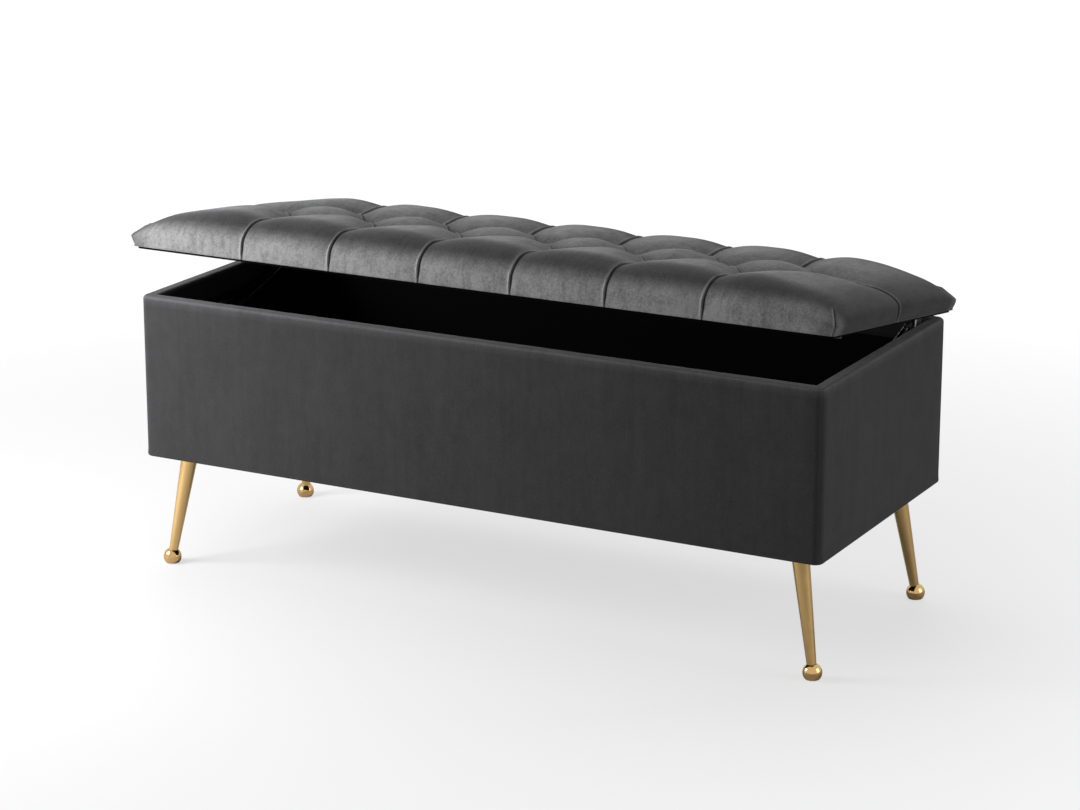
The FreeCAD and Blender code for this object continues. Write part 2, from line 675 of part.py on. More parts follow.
def lid_pieces():
    """Return the lid's boards, foam, velvet cover, buttons and bumpers."""
    hinge_screws = hinge_screw_places(LID_BOTTOM - LEAF_THICKNESS, Z_AXIS)
    bracket_screws = lid_bracket_screw_places(-1) + lid_bracket_screw_places(1)
    prong_foot = LID_BOARD_TOP - PRONG_IN_BOARD
    prongs = []
    for x, y in tuft_places():
        prongs.append(rod_between(Vec(x, y, prong_foot), Vec(x, y, CUSHION_TOP), PRONG_RADIUS))
    under_panel = lid_panel(UNDER_PANEL_INSET, (LID_BOTTOM, LID_BOARD_BOTTOM))
    board = lid_panel(LID_BOARD_INSET, (LID_BOARD_BOTTOM, LID_BOARD_TOP))
    outer = cushion_blank(0, CUSHION_TOP).cut(tuft_pits(0))
    inner = cushion_blank(LID_COVER_THICKNESS, CUSHION_TOP - LID_COVER_THICKNESS)
    inner = inner.cut(tuft_pits(LID_COVER_THICKNESS))
    pieces = {}
    pieces["lid_cover"] = outer.cut([inner] + prongs)
    pieces["lid_foam"] = inner.cut([board] + prongs)
    for name, panel in (("lid_under_panel", under_panel), ("lid_board", board.cut(prongs))):
        panel = drilled(panel, hinge_screws, HINGE_LID_SCREW)
        pieces[name] = drilled(panel, bracket_screws, BRACKET_SCREW)
    pieces["tuft_buttons"] = Part.makeCompound([tuft_button(x, y) for x, y in tuft_places()])
    bumper_y = BUMPER_FRONT_MARGIN - HALF_DEPTH
    bumper_x = INNER_HALF_LENGTH + BOARD_THICKNESS / 2
    bumper_height = LID_GAP - BUMPER_CLEARANCE
    bumpers = []
    for side_x in SIDES.values():
        base = Vec(side_x * bumper_x, bumper_y, RIM_TOP + BUMPER_CLEARANCE)
        bumpers.append(Part.makeCylinder(BUMPER_RADIUS, bumper_height, base))
    pieces["lid_bumpers"] = Part.makeCompound(bumpers)
    return pieces


# ---- Gas struts ----


def strut_socket(pivot, along, neck_sign):
    """Return a ball socket at pivot whose threaded neck runs towards the strut's middle."""
    body = Part.makeCylinder(SOCKET_RADIUS, SOCKET_WIDTH, pivot.sub(X_AXIS * (SOCKET_WIDTH / 2)), X_AXIS)
    neck = rod_between(pivot, pivot.add(along * (neck_sign * SOCKET_NECK_END)), SOCKET_NECK_RADIUS)
    cavity = ball(pivot, STRUT_BALL_RADIUS + STRUT_BALL_CLEARANCE)
    return body.fuse(neck).cut(cavity).removeSplitter()


def socket_throat(pivot, side_x):
    """Return the opening through which a stud's neck leaves its socket."""
    end = pivot.add(X_AXIS * (side_x * SOCKET_WIDTH))
    return rod_between(pivot, end, STRUT_BALL_RADIUS - 1 + STRUT_BALL_CLEARANCE)


def ball_stud(pivot, side_x, plate_face):
    """Return a ball stud at pivot whose flange stands against a plate at x = plate_face."""
    flange_start = plate_face - side_x * STRUT_FLANGE
    neck = rod_between(pivot, Vec(plate_face, pivot.y, pivot.z), STRUT_NECK_RADIUS)
    flange = rod_between(
        Vec(flange_start, pivot.y, pivot.z), Vec(plate_face, pivot.y, pivot.z), STRUT_FLANGE_RADIUS
    )
    return ball(pivot, STRUT_BALL_RADIUS).fuse([neck, flange]).removeSplitter()


def ear_face():
    """Return the x of the lid bracket ear's face that the rod's ball stud runs against."""
    return INNER_HALF_LENGTH - TURN_DOWN_THICKNESS - BRACKET_THICKNESS - STRUT_FLANGE - BRACKET_THICKNESS


def strut_cylinder(side_x):
    """Return the gas cylinder, a tube with a closed end and a guide for the rod."""
    pivot = strut_box_pivot(side_x)
    along = strut_direction()
    start = pivot.add(along * SOCKET_NECK_END)
    end = start.add(along * CYLINDER_LENGTH)
    chamber = rod_between(
        start.add(along * CYLINDER_END_WALL), end.sub(along * CYLINDER_GUIDE), CYLINDER_RADIUS - CYLINDER_WALL
    )
    rod_hole = rod_between(start.add(along * CYLINDER_END_WALL), end, ROD_RADIUS + ROD_CLEARANCE)
    return rod_between(start, end, CYLINDER_RADIUS).cut([chamber, rod_hole])


def strut_rod(side_x):
    """Return the rod with its piston."""
    pivot = strut_lid_pivot(side_x)
    along = strut_direction()
    mouth = SOCKET_NECK_END + CYLINDER_LENGTH
    start = strut_box_pivot(side_x).add(along * (mouth - ROD_IN_CYLINDER))
    end = pivot.sub(along * (SOCKET_NECK_END - ROD_IN_SOCKET))
    piston_radius = CYLINDER_RADIUS - CYLINDER_WALL - PISTON_CLEARANCE
    piston = rod_between(start, start.add(along * PISTON_LENGTH), piston_radius)
    return rod_between(start, end, ROD_RADIUS).fuse(piston).removeSplitter()


def lid_bracket(side_x):
    """Return the angle bracket under the shut lid: a foot plate and an ear beside the ball stud."""
    y = HINGE_Y - STRUT_LEVER
    pivot_z = LID_BOTTOM - STRUT_PIVOT_DROP
    ear_x = sorted((side_x * ear_face(), side_x * (ear_face() + BRACKET_THICKNESS)))
    foot_end = ear_face() + BRACKET_THICKNESS
    foot_x = sorted((side_x * foot_end, side_x * (foot_end - LID_BRACKET_WIDTH)))
    foot_z = (LID_BOTTOM - BRACKET_THICKNESS, LID_BOTTOM)
    foot_plate = block(foot_x, span(y, LID_BRACKET_LENGTH / 2), foot_z)
    ear = block(ear_x, span(y, EAR_LENGTH / 2), (pivot_z - EAR_BELOW_PIVOT, LID_BOTTOM))
    bracket = foot_plate.fuse(ear).removeSplitter()
    return drilled(bracket, lid_bracket_screw_places(side_x), BRACKET_SCREW)


def struts():
    """Return the strut pieces on the box, on the struts themselves and on the shut lid."""
    on_box = {}
    on_struts = {}
    on_lid = {}
    along = strut_direction()
    box_brackets = []
    box_studs = []
    lid_brackets = []
    box_places = []
    lid_places = []
    for side, side_x in SIDES.items():
        box_pivot = strut_box_pivot(side_x)
        lid_pivot = strut_lid_pivot(side_x)
        wall = side_x * (INNER_HALF_LENGTH - LINING_THICKNESS)
        plate_face = wall - side_x * BRACKET_THICKNESS
        y_range = span(box_pivot.y, BOX_BRACKET_LENGTH / 2)
        z_range = span(box_pivot.z, BOX_BRACKET_HEIGHT / 2)
        plate = block(sorted((wall, plate_face)), y_range, z_range)
        box_brackets.append(drilled(plate, box_bracket_screw_places(side_x), BRACKET_SCREW))
        box_studs.append(ball_stud(box_pivot, side_x, plate_face))
        lid_brackets.append(lid_bracket(side_x))
        box_places += box_bracket_screw_places(side_x)
        lid_places += lid_bracket_screw_places(side_x)
        box_socket = strut_socket(box_pivot, along, 1).cut(socket_throat(box_pivot, side_x))
        rod = strut_rod(side_x)
        lid_socket = strut_socket(lid_pivot, along, -1).cut([socket_throat(lid_pivot, side_x), rod])
        on_struts[side + "_strut_cylinder_socket"] = box_socket
        on_struts[side + "_strut_cylinder"] = strut_cylinder(side_x)
        on_struts[side + "_strut_rod"] = rod
        on_struts[side + "_strut_rod_socket"] = lid_socket
        on_struts[side + "_strut_rod_stud"] = ball_stud(lid_pivot, side_x, side_x * (ear_face() - EAR_GAP))
    on_box["strut_box_brackets"] = Part.makeCompound(box_brackets)
    on_box["strut_box_studs"] = Part.makeCompound(box_studs)
    on_box["strut_box_screws"] = screws(box_places, BRACKET_SCREW)
    on_lid["strut_lid_brackets"] = Part.makeCompound(lid_brackets)
    on_lid["strut_lid_screws"] = screws(lid_places, BRACKET_SCREW)
    return on_box, on_struts, on_lid


def bench():
    """Return every piece of the bench by name, at the stored pose."""
    hinge_fixed, hinge_moving = hinges()
    strut_box, strut_moving, strut_lid = struts()
    pieces = {}
    for group in (box_boards(), box_covers(), compartment_floor(), legs()):
        pieces.update(group)
    for group in (hinge_fixed, strut_box, strut_moving):
        pieces.update(group)
    pieces["panel_screws"] = screws(panel_screw_places(), PANEL_SCREW)
    pieces["floor_screws"] = screws(floor_screw_places(), FLOOR_SCREW)
    for group in (lid_pieces(), hinge_moving, strut_lid):
        for name, shape in group.items():
            pieces[name] = swing_open(shape)
    return pieces


def main():
    """Write one STEP file per piece and print where the joints lie."""
    os.makedirs("parts", exist_ok=True)
    for name, shape in sorted(bench().items()):
        shape.exportStep(f"parts/{name}.step")
        print(f"{name}: {len(shape.Solids)} solids, {shape.Volume / 1000:.1f} cm3, valid {shape.isValid()}")
    lever = hypot(STRUT_LEVER, HINGE_Z - (LID_BOTTOM - STRUT_PIVOT_DROP))
    print("hinge line (y, z)", HINGE_Y, HINGE_Z, "strut lever", round(lever, 3))
    print("strut box pivot", strut_box_pivot(1), "strut lid pivot", strut_lid_pivot(1))


if __name__ == "__main__":
    main()
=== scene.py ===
"""Looks of the storage bench: tufted velvet lid, velvet-covered box, black lining and brass-coloured legs."""

import json
import logging
import math
from dataclasses import dataclass, field
from enum import Enum
from typing import Sequence

import bmesh
import bpy
from mathutils import Matrix, Vector, noise


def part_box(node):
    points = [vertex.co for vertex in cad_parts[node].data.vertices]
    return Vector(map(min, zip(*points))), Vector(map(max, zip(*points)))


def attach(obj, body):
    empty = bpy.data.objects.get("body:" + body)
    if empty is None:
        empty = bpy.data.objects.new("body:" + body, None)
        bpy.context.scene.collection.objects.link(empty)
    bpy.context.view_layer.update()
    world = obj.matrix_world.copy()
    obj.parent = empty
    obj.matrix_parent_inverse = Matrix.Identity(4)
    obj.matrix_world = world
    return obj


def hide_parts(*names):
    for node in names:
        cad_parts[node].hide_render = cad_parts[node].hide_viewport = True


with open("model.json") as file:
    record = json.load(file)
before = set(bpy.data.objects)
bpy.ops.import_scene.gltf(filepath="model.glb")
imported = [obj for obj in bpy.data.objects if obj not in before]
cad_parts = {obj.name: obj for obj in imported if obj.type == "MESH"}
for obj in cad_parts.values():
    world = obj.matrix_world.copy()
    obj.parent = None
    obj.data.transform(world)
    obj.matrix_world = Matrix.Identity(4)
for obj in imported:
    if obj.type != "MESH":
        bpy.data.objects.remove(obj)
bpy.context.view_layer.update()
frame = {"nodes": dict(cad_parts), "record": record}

LOG = logging.getLogger("storage_bench")
MM = 0.001
Colour = tuple[float, float, float]


# ---------------------------------------------------------------- helpers


def smoothstep(low: float, high: float, value: float) -> float:
    """Return 0 below low, 1 above high and a smooth rise between them."""
    t = min(1.0, max(0.0, (value - low) / (high - low)))
    return t * t * (3.0 - 2.0 * t)


def ripple(point: Vector, scale: float, seed: float) -> float:
    """Return smooth noise that doesn't change from run to run.

    Args:
        point: Where to read it, in metres.
        scale: Waves per metre.
        seed: Shifts the noise, so that two uses differ.

    Returns:
        A value between about -1 and 1.
    """
    return noise.noise(point * scale + Vector((seed, -seed, 2.0 * seed)))


def new_object(
    name: str,
    mesh: bmesh.types.BMesh,
    material: bpy.types.Material,
    outwards: Vector | None = None,
    smooth: bool = True,
) -> bpy.types.Object:
    """Turn a bmesh into a shown object at the origin.

    Args:
        name: The piece's name.
        mesh: Its mesh, in metres; it is freed.
        material: Its finish.
        outwards: For an open sheet, the direction that its largest face shall look in.
        smooth: Whether its faces are shaded smooth.

    Returns:
        The new object.
    """
    data = bpy.data.meshes.new(name)
    bmesh.ops.recalc_face_normals(mesh, faces=mesh.faces)
    if outwards is not None:
        mesh.normal_update()
        looking = sum(face.normal.dot(outwards) * face.calc_area() for face in mesh.faces)
        if looking < 0:
            bmesh.ops.reverse_faces(mesh, faces=mesh.faces)
    for face in mesh.faces:
        face.smooth = smooth
    mesh.to_mesh(data)
    mesh.free()
    data.materials.append(material)
    piece = bpy.data.objects.new(name, data)
    bpy.context.collection.objects.link(piece)
    return piece


def solidify(piece: bpy.types.Object, thickness: float) -> None:
    """Give a sheet its thickness, in from its face, with a live Solidify modifier."""
    modifier = piece.modifiers.new("thickness", "SOLIDIFY")
    modifier.thickness = thickness
    modifier.offset = -1.0
    modifier.use_even_offset = True


# ---------------------------------------------------------------- finishes


class NodeSheet:
    """Small wrapper that makes and links the nodes of one material."""

    def __init__(self, name: str) -> None:
        """Start an empty material with a Principled shader."""
        self.material = bpy.data.materials.new(name)
        self.material.use_nodes = True
        self.tree = self.material.node_tree
        self.shader = self.tree.nodes["Principled BSDF"]
        self.coordinates = self.tree.nodes.new("ShaderNodeTexCoord").outputs["Object"]

    def node(self, kind: str, **settings: object) -> bpy.types.Node:
        """Add a node and set its properties."""
        made = self.tree.nodes.new(kind)
        for key, value in settings.items():
            setattr(made, key, value)
        return made

    def link(self, source: bpy.types.NodeSocket, target: bpy.types.NodeSocket) -> None:
        """Link one socket to another."""
        self.tree.links.new(source, target)

    def mapped(self, scale: Sequence[float]) -> bpy.types.NodeSocket:
        """Return object coordinates stretched by a scale."""
        mapping = self.node("ShaderNodeMapping")
        mapping.inputs["Scale"].default_value = scale
        self.link(self.coordinates, mapping.inputs["Vector"])
        return mapping.outputs["Vector"]

    def noise(
        self, vector: bpy.types.NodeSocket, scale: float, detail: float = 2.0, roughness: float = 0.5
    ) -> bpy.types.NodeSocket:
        """Return a noise value read at a vector."""
        made = self.node("ShaderNodeTexNoise")
        made.inputs["Scale"].default_value = scale
        made.inputs["Detail"].default_value = detail
        made.inputs["Roughness"].default_value = roughness
        self.link(vector, made.inputs["Vector"])
        return made.outputs["Fac"]

    def ramp(
        self, source: bpy.types.NodeSocket, low: float, high: float, start: float = 0.0, end: float = 1.0
    ) -> bpy.types.NodeSocket:
        """Return source mapped from low..high to start..end, and held at both ends."""
        made = self.node("ShaderNodeMapRange")
        made.inputs["From Min"].default_value = low
        made.inputs["From Max"].default_value = high
        made.inputs["To Min"].default_value = start
        made.inputs["To Max"].default_value = end
        self.link(source, made.inputs["Value"])
        return made.outputs["Result"]

    def maths(self, operation: str, first: object, second: object = 0.0) -> bpy.types.NodeSocket:
        """Return a Math node's result; each operand is a socket or a number."""
        made = self.node("ShaderNodeMath", operation=operation)
        for index, value in enumerate((first, second)):
            if isinstance(value, (int, float)):
                made.inputs[index].default_value = value
            else:
                self.link(value, made.inputs[index])
        return made.outputs["Value"]

    def mix(self, factor: bpy.types.NodeSocket, first: Colour, second: Colour) -> bpy.types.NodeSocket:
        """Return a colour mixed from two by a factor."""
        made = self.node("ShaderNodeMix", data_type="RGBA")
        for socket in made.inputs:
            if socket.name == "A" and socket.type == "RGBA":
                socket.default_value = (*first, 1.0)
            if socket.name == "B" and socket.type == "RGBA":
                socket.default_value = (*second, 1.0)
        self.link(factor, made.inputs["Factor"])
        return next(s for s in made.outputs if s.type == "RGBA")

    def bump(self, height: bpy.types.NodeSocket, distance: float, strength: float = 1.0) -> None:
        """Drive the shader's normal by a height, whose full swing is distance metres."""
        made = self.node("ShaderNodeBump")
        made.inputs["Strength"].default_value = strength
        made.inputs["Distance"].default_value = distance
        self.link(height, made.inputs["Height"])
        self.link(made.outputs["Normal"], self.shader.inputs["Normal"])

    def set(self, **values: object) -> None:
        """Set the shader's own sockets by name, with underscores for spaces."""
        for key, value in values.items():
            self.shader.inputs[key.replace("_", " ")].default_value = value


@dataclass(frozen=True)
class Velvet:
    """Short-pile charcoal velvet with marks where the nap lies differently, and painted light and shade from a
    per-vertex attribute that scales its colour.
    """

    name: str
    dark: Colour = (0.006, 0.006, 0.0065)
    light: Colour = (0.105, 0.105, 0.108)
    streak_scale: tuple[float, float, float] = (70.0, 70.0, 5.0)
    sheen: float = 0.16
    streak_depth: float = 0.09
    grain: float = 0.8

    def build(self) -> bpy.types.Material:
        """Return the material."""
        sheet = NodeSheet(self.name)
        streaks = sheet.noise(sheet.mapped(self.streak_scale), 1.0, 4.0, 0.6)
        blotches = sheet.noise(sheet.coordinates, 11.0, 5.0, 0.65)
        strokes = sheet.noise(sheet.mapped((60.0, 60.0, 38.0)), 1.0, 5.0, 0.7)
        mottle = sheet.noise(sheet.coordinates, 330.0, 3.0, 0.7)
        depth = self.streak_depth
        streaked = sheet.ramp(streaks, 0.3, 0.7, -depth, depth)
        blotched = sheet.ramp(blotches, 0.3, 0.7, -depth, depth)
        tone_and_shade = sheet.maths("ADD", streaked, blotched)
        tone_and_shade = sheet.maths("ADD", tone_and_shade, sheet.ramp(strokes, 0.35, 0.65, -depth, depth))
        tone_and_shade = sheet.maths("ADD", tone_and_shade, sheet.ramp(mottle, 0.35, 0.65, -1.3 * depth, 1.3 * depth))
        # Painted light and shade: a per-vertex attribute scales the colour, lighter where the mesh is painted
        # lit and darker where it is painted shaded.
        tone_and_painted_light = sheet.node("ShaderNodeAttribute", attribute_name="tone_and_painted_light")
        tone_and_shade = sheet.maths("MULTIPLY", tone_and_painted_light.outputs["Fac"], sheet.ramp(tone_and_shade, -1.0, 1.0, 0.0, 2.0))
        colour = sheet.mix(sheet.ramp(tone_and_shade, 0.0, 1.0), self.dark, self.light)
        sheet.link(colour, sheet.shader.inputs["Base Color"])
        pile = sheet.noise(sheet.coordinates, 1400.0, 1.0, 0.5)
        sheet.bump(sheet.maths("ADD", pile, sheet.maths("MULTIPLY", streaks, 0.6)), 0.3 * MM, self.grain)
        sheet.set(Roughness=0.85, Specular_IOR_Level=0.15, Sheen_Weight=self.sheen, Sheen_Roughness=0.35)
        sheet.set(Sheen_Tint=(0.75, 0.75, 0.78, 1.0))
        return sheet.material


@dataclass(frozen=True)
class Cloth:
    """Plain thin cloth, such as a lining or a dust cover."""

    name: str
    colour: Colour
    thread_scale: float = 900.0

    def build(self) -> bpy.types.Material:
        """Return the material."""
        sheet = NodeSheet(self.name)
        cloudy = sheet.noise(sheet.coordinates, 9.0, 3.0)
        brighter = tuple(min(1.0, part * 1.6) for part in self.colour)
        colour = sheet.mix(sheet.ramp(cloudy, 0.3, 0.7), self.colour, brighter)
        sheet.link(colour, sheet.shader.inputs["Base Color"])
        warp = sheet.noise(sheet.mapped((1.0, 0.15, 1.0)), self.thread_scale, 1.0)
        weft = sheet.noise(sheet.mapped((0.15, 1.0, 0.15)), self.thread_scale, 1.0)
        sheet.bump(sheet.maths("ADD", warp, weft), 0.15 * MM, 0.5)
        sheet.set(Roughness=0.9, Specular_IOR_Level=0.12)
        return sheet.material


@dataclass(frozen=True)
class Metal:
    """Metal with fine brushing and a little handling wear."""

    name: str
    colour: Colour
    roughness: float
    brushing: tuple[float, float, float] = (1.0, 1.0, 14.0)
    depth: float = 0.02 * MM

    def build(self) -> bpy.types.Material:
        """Return the material."""
        sheet = NodeSheet(self.name)
        brushed = sheet.noise(sheet.mapped(self.brushing), 260.0, 3.0, 0.6)
        worn = sheet.noise(sheet.coordinates, 35.0, 4.0, 0.6)
        deeper = tuple(part * 0.92 for part in self.colour)
        colour = sheet.mix(sheet.ramp(worn, 0.3, 0.7), deeper, self.colour)
        sheet.link(colour, sheet.shader.inputs["Base Color"])
        handled = sheet.maths("ADD", brushed, worn)
        rough = sheet.ramp(handled, 0.7, 1.3, self.roughness * 0.8, self.roughness * 1.25)
        sheet.link(rough, sheet.shader.inputs["Roughness"])
        sheet.bump(brushed, self.depth, 0.5)
        sheet.set(Metallic=1.0)
        return sheet.material


@dataclass(frozen=True)
class Wood:
    """Bare timber or board, with grain along the bench."""

    name: str
    dark: Colour
    light: Colour
    grain: tuple[float, float, float] = (3.0, 60.0, 60.0)

    def build(self) -> bpy.types.Material:
        """Return the material."""
        sheet = NodeSheet(self.name)
        grain = sheet.noise(sheet.mapped(self.grain), 1.0, 5.0, 0.6)
        colour = sheet.mix(sheet.ramp(grain, 0.3, 0.7), self.dark, self.light)
        sheet.link(colour, sheet.shader.inputs["Base Color"])
        sheet.bump(grain, 0.2 * MM, 0.5)
        sheet.set(Roughness=0.7, Specular_IOR_Level=0.3)
        return sheet.material


@dataclass(frozen=True)
class Moulded:
    """Moulded plastic, rubber or enamel, with a slight orange-peel texture."""

    name: str
    colour: Colour
    roughness: float
    gloss: float = 0.5

    def build(self) -> bpy.types.Material:
        """Return the material."""
        sheet = NodeSheet(self.name)
        sheet.set(Specular_IOR_Level=self.gloss)
        grain = sheet.noise(sheet.coordinates, 420.0, 2.0)
        lighter = tuple(part * 1.3 for part in self.colour)
        sheet.link(sheet.mix(grain, self.colour, lighter), sheet.shader.inputs["Base Color"])
        rough = sheet.ramp(grain, 0.3, 0.7, self.roughness * 0.85, self.roughness * 1.15)
        sheet.link(rough, sheet.shader.inputs["Roughness"])
        sheet.bump(grain, 0.05 * MM, 0.4)
        return sheet.material


class Finish(Enum):
    """The named finishes of the bench."""

    BOX_VELVET = Velvet("box_velvet")
    # The lid's copy of the velvet has a far lighter light end than the box's, so that its painted-lit parts
    # come out bright.
    LID_VELVET = Velvet(
        "lid_velvet",
        (0.007, 0.007, 0.0075),
        (0.26, 0.26, 0.262),
        streak_scale=(150.0, 30.0, 30.0),
        streak_depth=0.17,
    )
    BUTTON_VELVET = Velvet("button_velvet", (0.02, 0.02, 0.0205), (0.05, 0.05, 0.051))
    LINING = Cloth("black_lining", (0.0014, 0.0014, 0.0015))
    DUST_COVER = Cloth("dust_cover_cloth", (0.012, 0.012, 0.013), 600.0)
    HARDBOARD = Moulded("black_hardboard", (0.0015, 0.0015, 0.0015), 0.9, gloss=0.03)
    LEG_METAL = Metal("brushed_champagne", (0.64, 0.42, 0.175), 0.19, depth=0.006 * MM)
    BALL_METAL = Metal("polished_champagne", (0.62, 0.40, 0.165), 0.10, depth=0.004 * MM)
    STEEL = Metal("zinc_steel", (0.55, 0.55, 0.54), 0.32)
    CHROME = Metal("chrome_rod", (0.80, 0.80, 0.82), 0.10, depth=0.003 * MM)
    BOARD = Wood("board_wood", (0.30, 0.21, 0.12), (0.42, 0.30, 0.18))
    TIMBER = Wood("corner_timber", (0.42, 0.28, 0.14), (0.56, 0.40, 0.22))
    FOAM = Cloth("foam", (0.6, 0.55, 0.38), 500.0)
    BLACK_ENAMEL = Moulded("black_enamel", (0.010, 0.010, 0.011), 0.25)
    BLACK_PLASTIC = Moulded("black_plastic", (0.014, 0.014, 0.015), 0.45)
    RUBBER = Moulded("bumper_rubber", (0.008, 0.008, 0.008), 0.7)


class Paintbox:
    """Builds each finish once and hands it out."""

    def __init__(self) -> None:
        """Start with no material made."""
        self._made: dict[Finish, bpy.types.Material] = {}

    def get(self, finish: Finish) -> bpy.types.Material:
        """Return the material of a finish."""
        if finish not in self._made:
            self._made[finish] = finish.value.build()
        return self._made[finish]


# ---------------------------------------------------------------- lid frame


class LidFrame:
    """Turns points of the shut lid into points of the stored, open lid."""

    def __init__(self) -> None:
        """Read the hinge from the frame; its lower limit is the shut lid."""
        hinge = next(joint for joint in frame["record"]["behaviour"]["joints"] if joint["name"] == "lid_hinge")
        centre = Matrix.Translation(Vector(hinge["pos_m"]))
        angle = -math.radians(hinge["range_deg"][0])
        self.opened = centre @ Matrix.Rotation(angle, 4, Vector(hinge["axis"])) @ centre.inverted()

    def shut_box(self, node: str) -> tuple[Vector, Vector]:
        """Return the lowest and highest corner of a lid node when the lid is shut."""
        shut = self.opened.inverted()
        points = [shut @ vertex.co for vertex in frame["nodes"][node].data.vertices]
        low = Vector([min(point[axis] for point in points) for axis in range(3)])
        high = Vector([max(point[axis] for point in points) for axis in range(3)])
        return low, high


# ---------------------------------------------------------------- lid cushion


@dataclass
class Pleat:
    """A straight fold of the lid's velvet, seen from above, between two points."""

    start: Vector
    end: Vector
    start_depth: float
    middle_depth: float
    end_depth: float
    reach: float

    @property
    def lip_side(self) -> float:
        """Return 1 or -1: the sign of the distance on the side whose velvet laps over the fold."""
        run = self.end - self.start
        if abs(run.y) > 0.1 * abs(run.x):
            return -math.copysign(1.0, run.y)
        return -math.copysign(1.0, run.x)

    def measure(self, x: float, y: float) -> tuple[float, float]:
        """Return the signed distance from the fold and the share along it."""
        run = self.end - self.start
        length = run.length
        along = ((x - self.start.x) * run.x + (y - self.start.y) * run.y) / (length * length)
        share = min(1.0, max(0.0, along))
        gap = Vector((x - self.start.x - run.x * share, y - self.start.y - run.y * share))
        side = (x - self.start.x) * run.y - (y - self.start.y) * run.x
        return math.copysign(gap.length, side), share

    def depth(self, share: float) -> float:
        """Return how far the fold is pulled in at a share of its length."""
        if share < 0.5:
            blend = smoothstep(0.0, 0.5, share)
            return self.start_depth + (self.middle_depth - self.start_depth) * blend
        blend = smoothstep(0.5, 1.0, share)
        return self.middle_depth + (self.end_depth - self.middle_depth) * blend


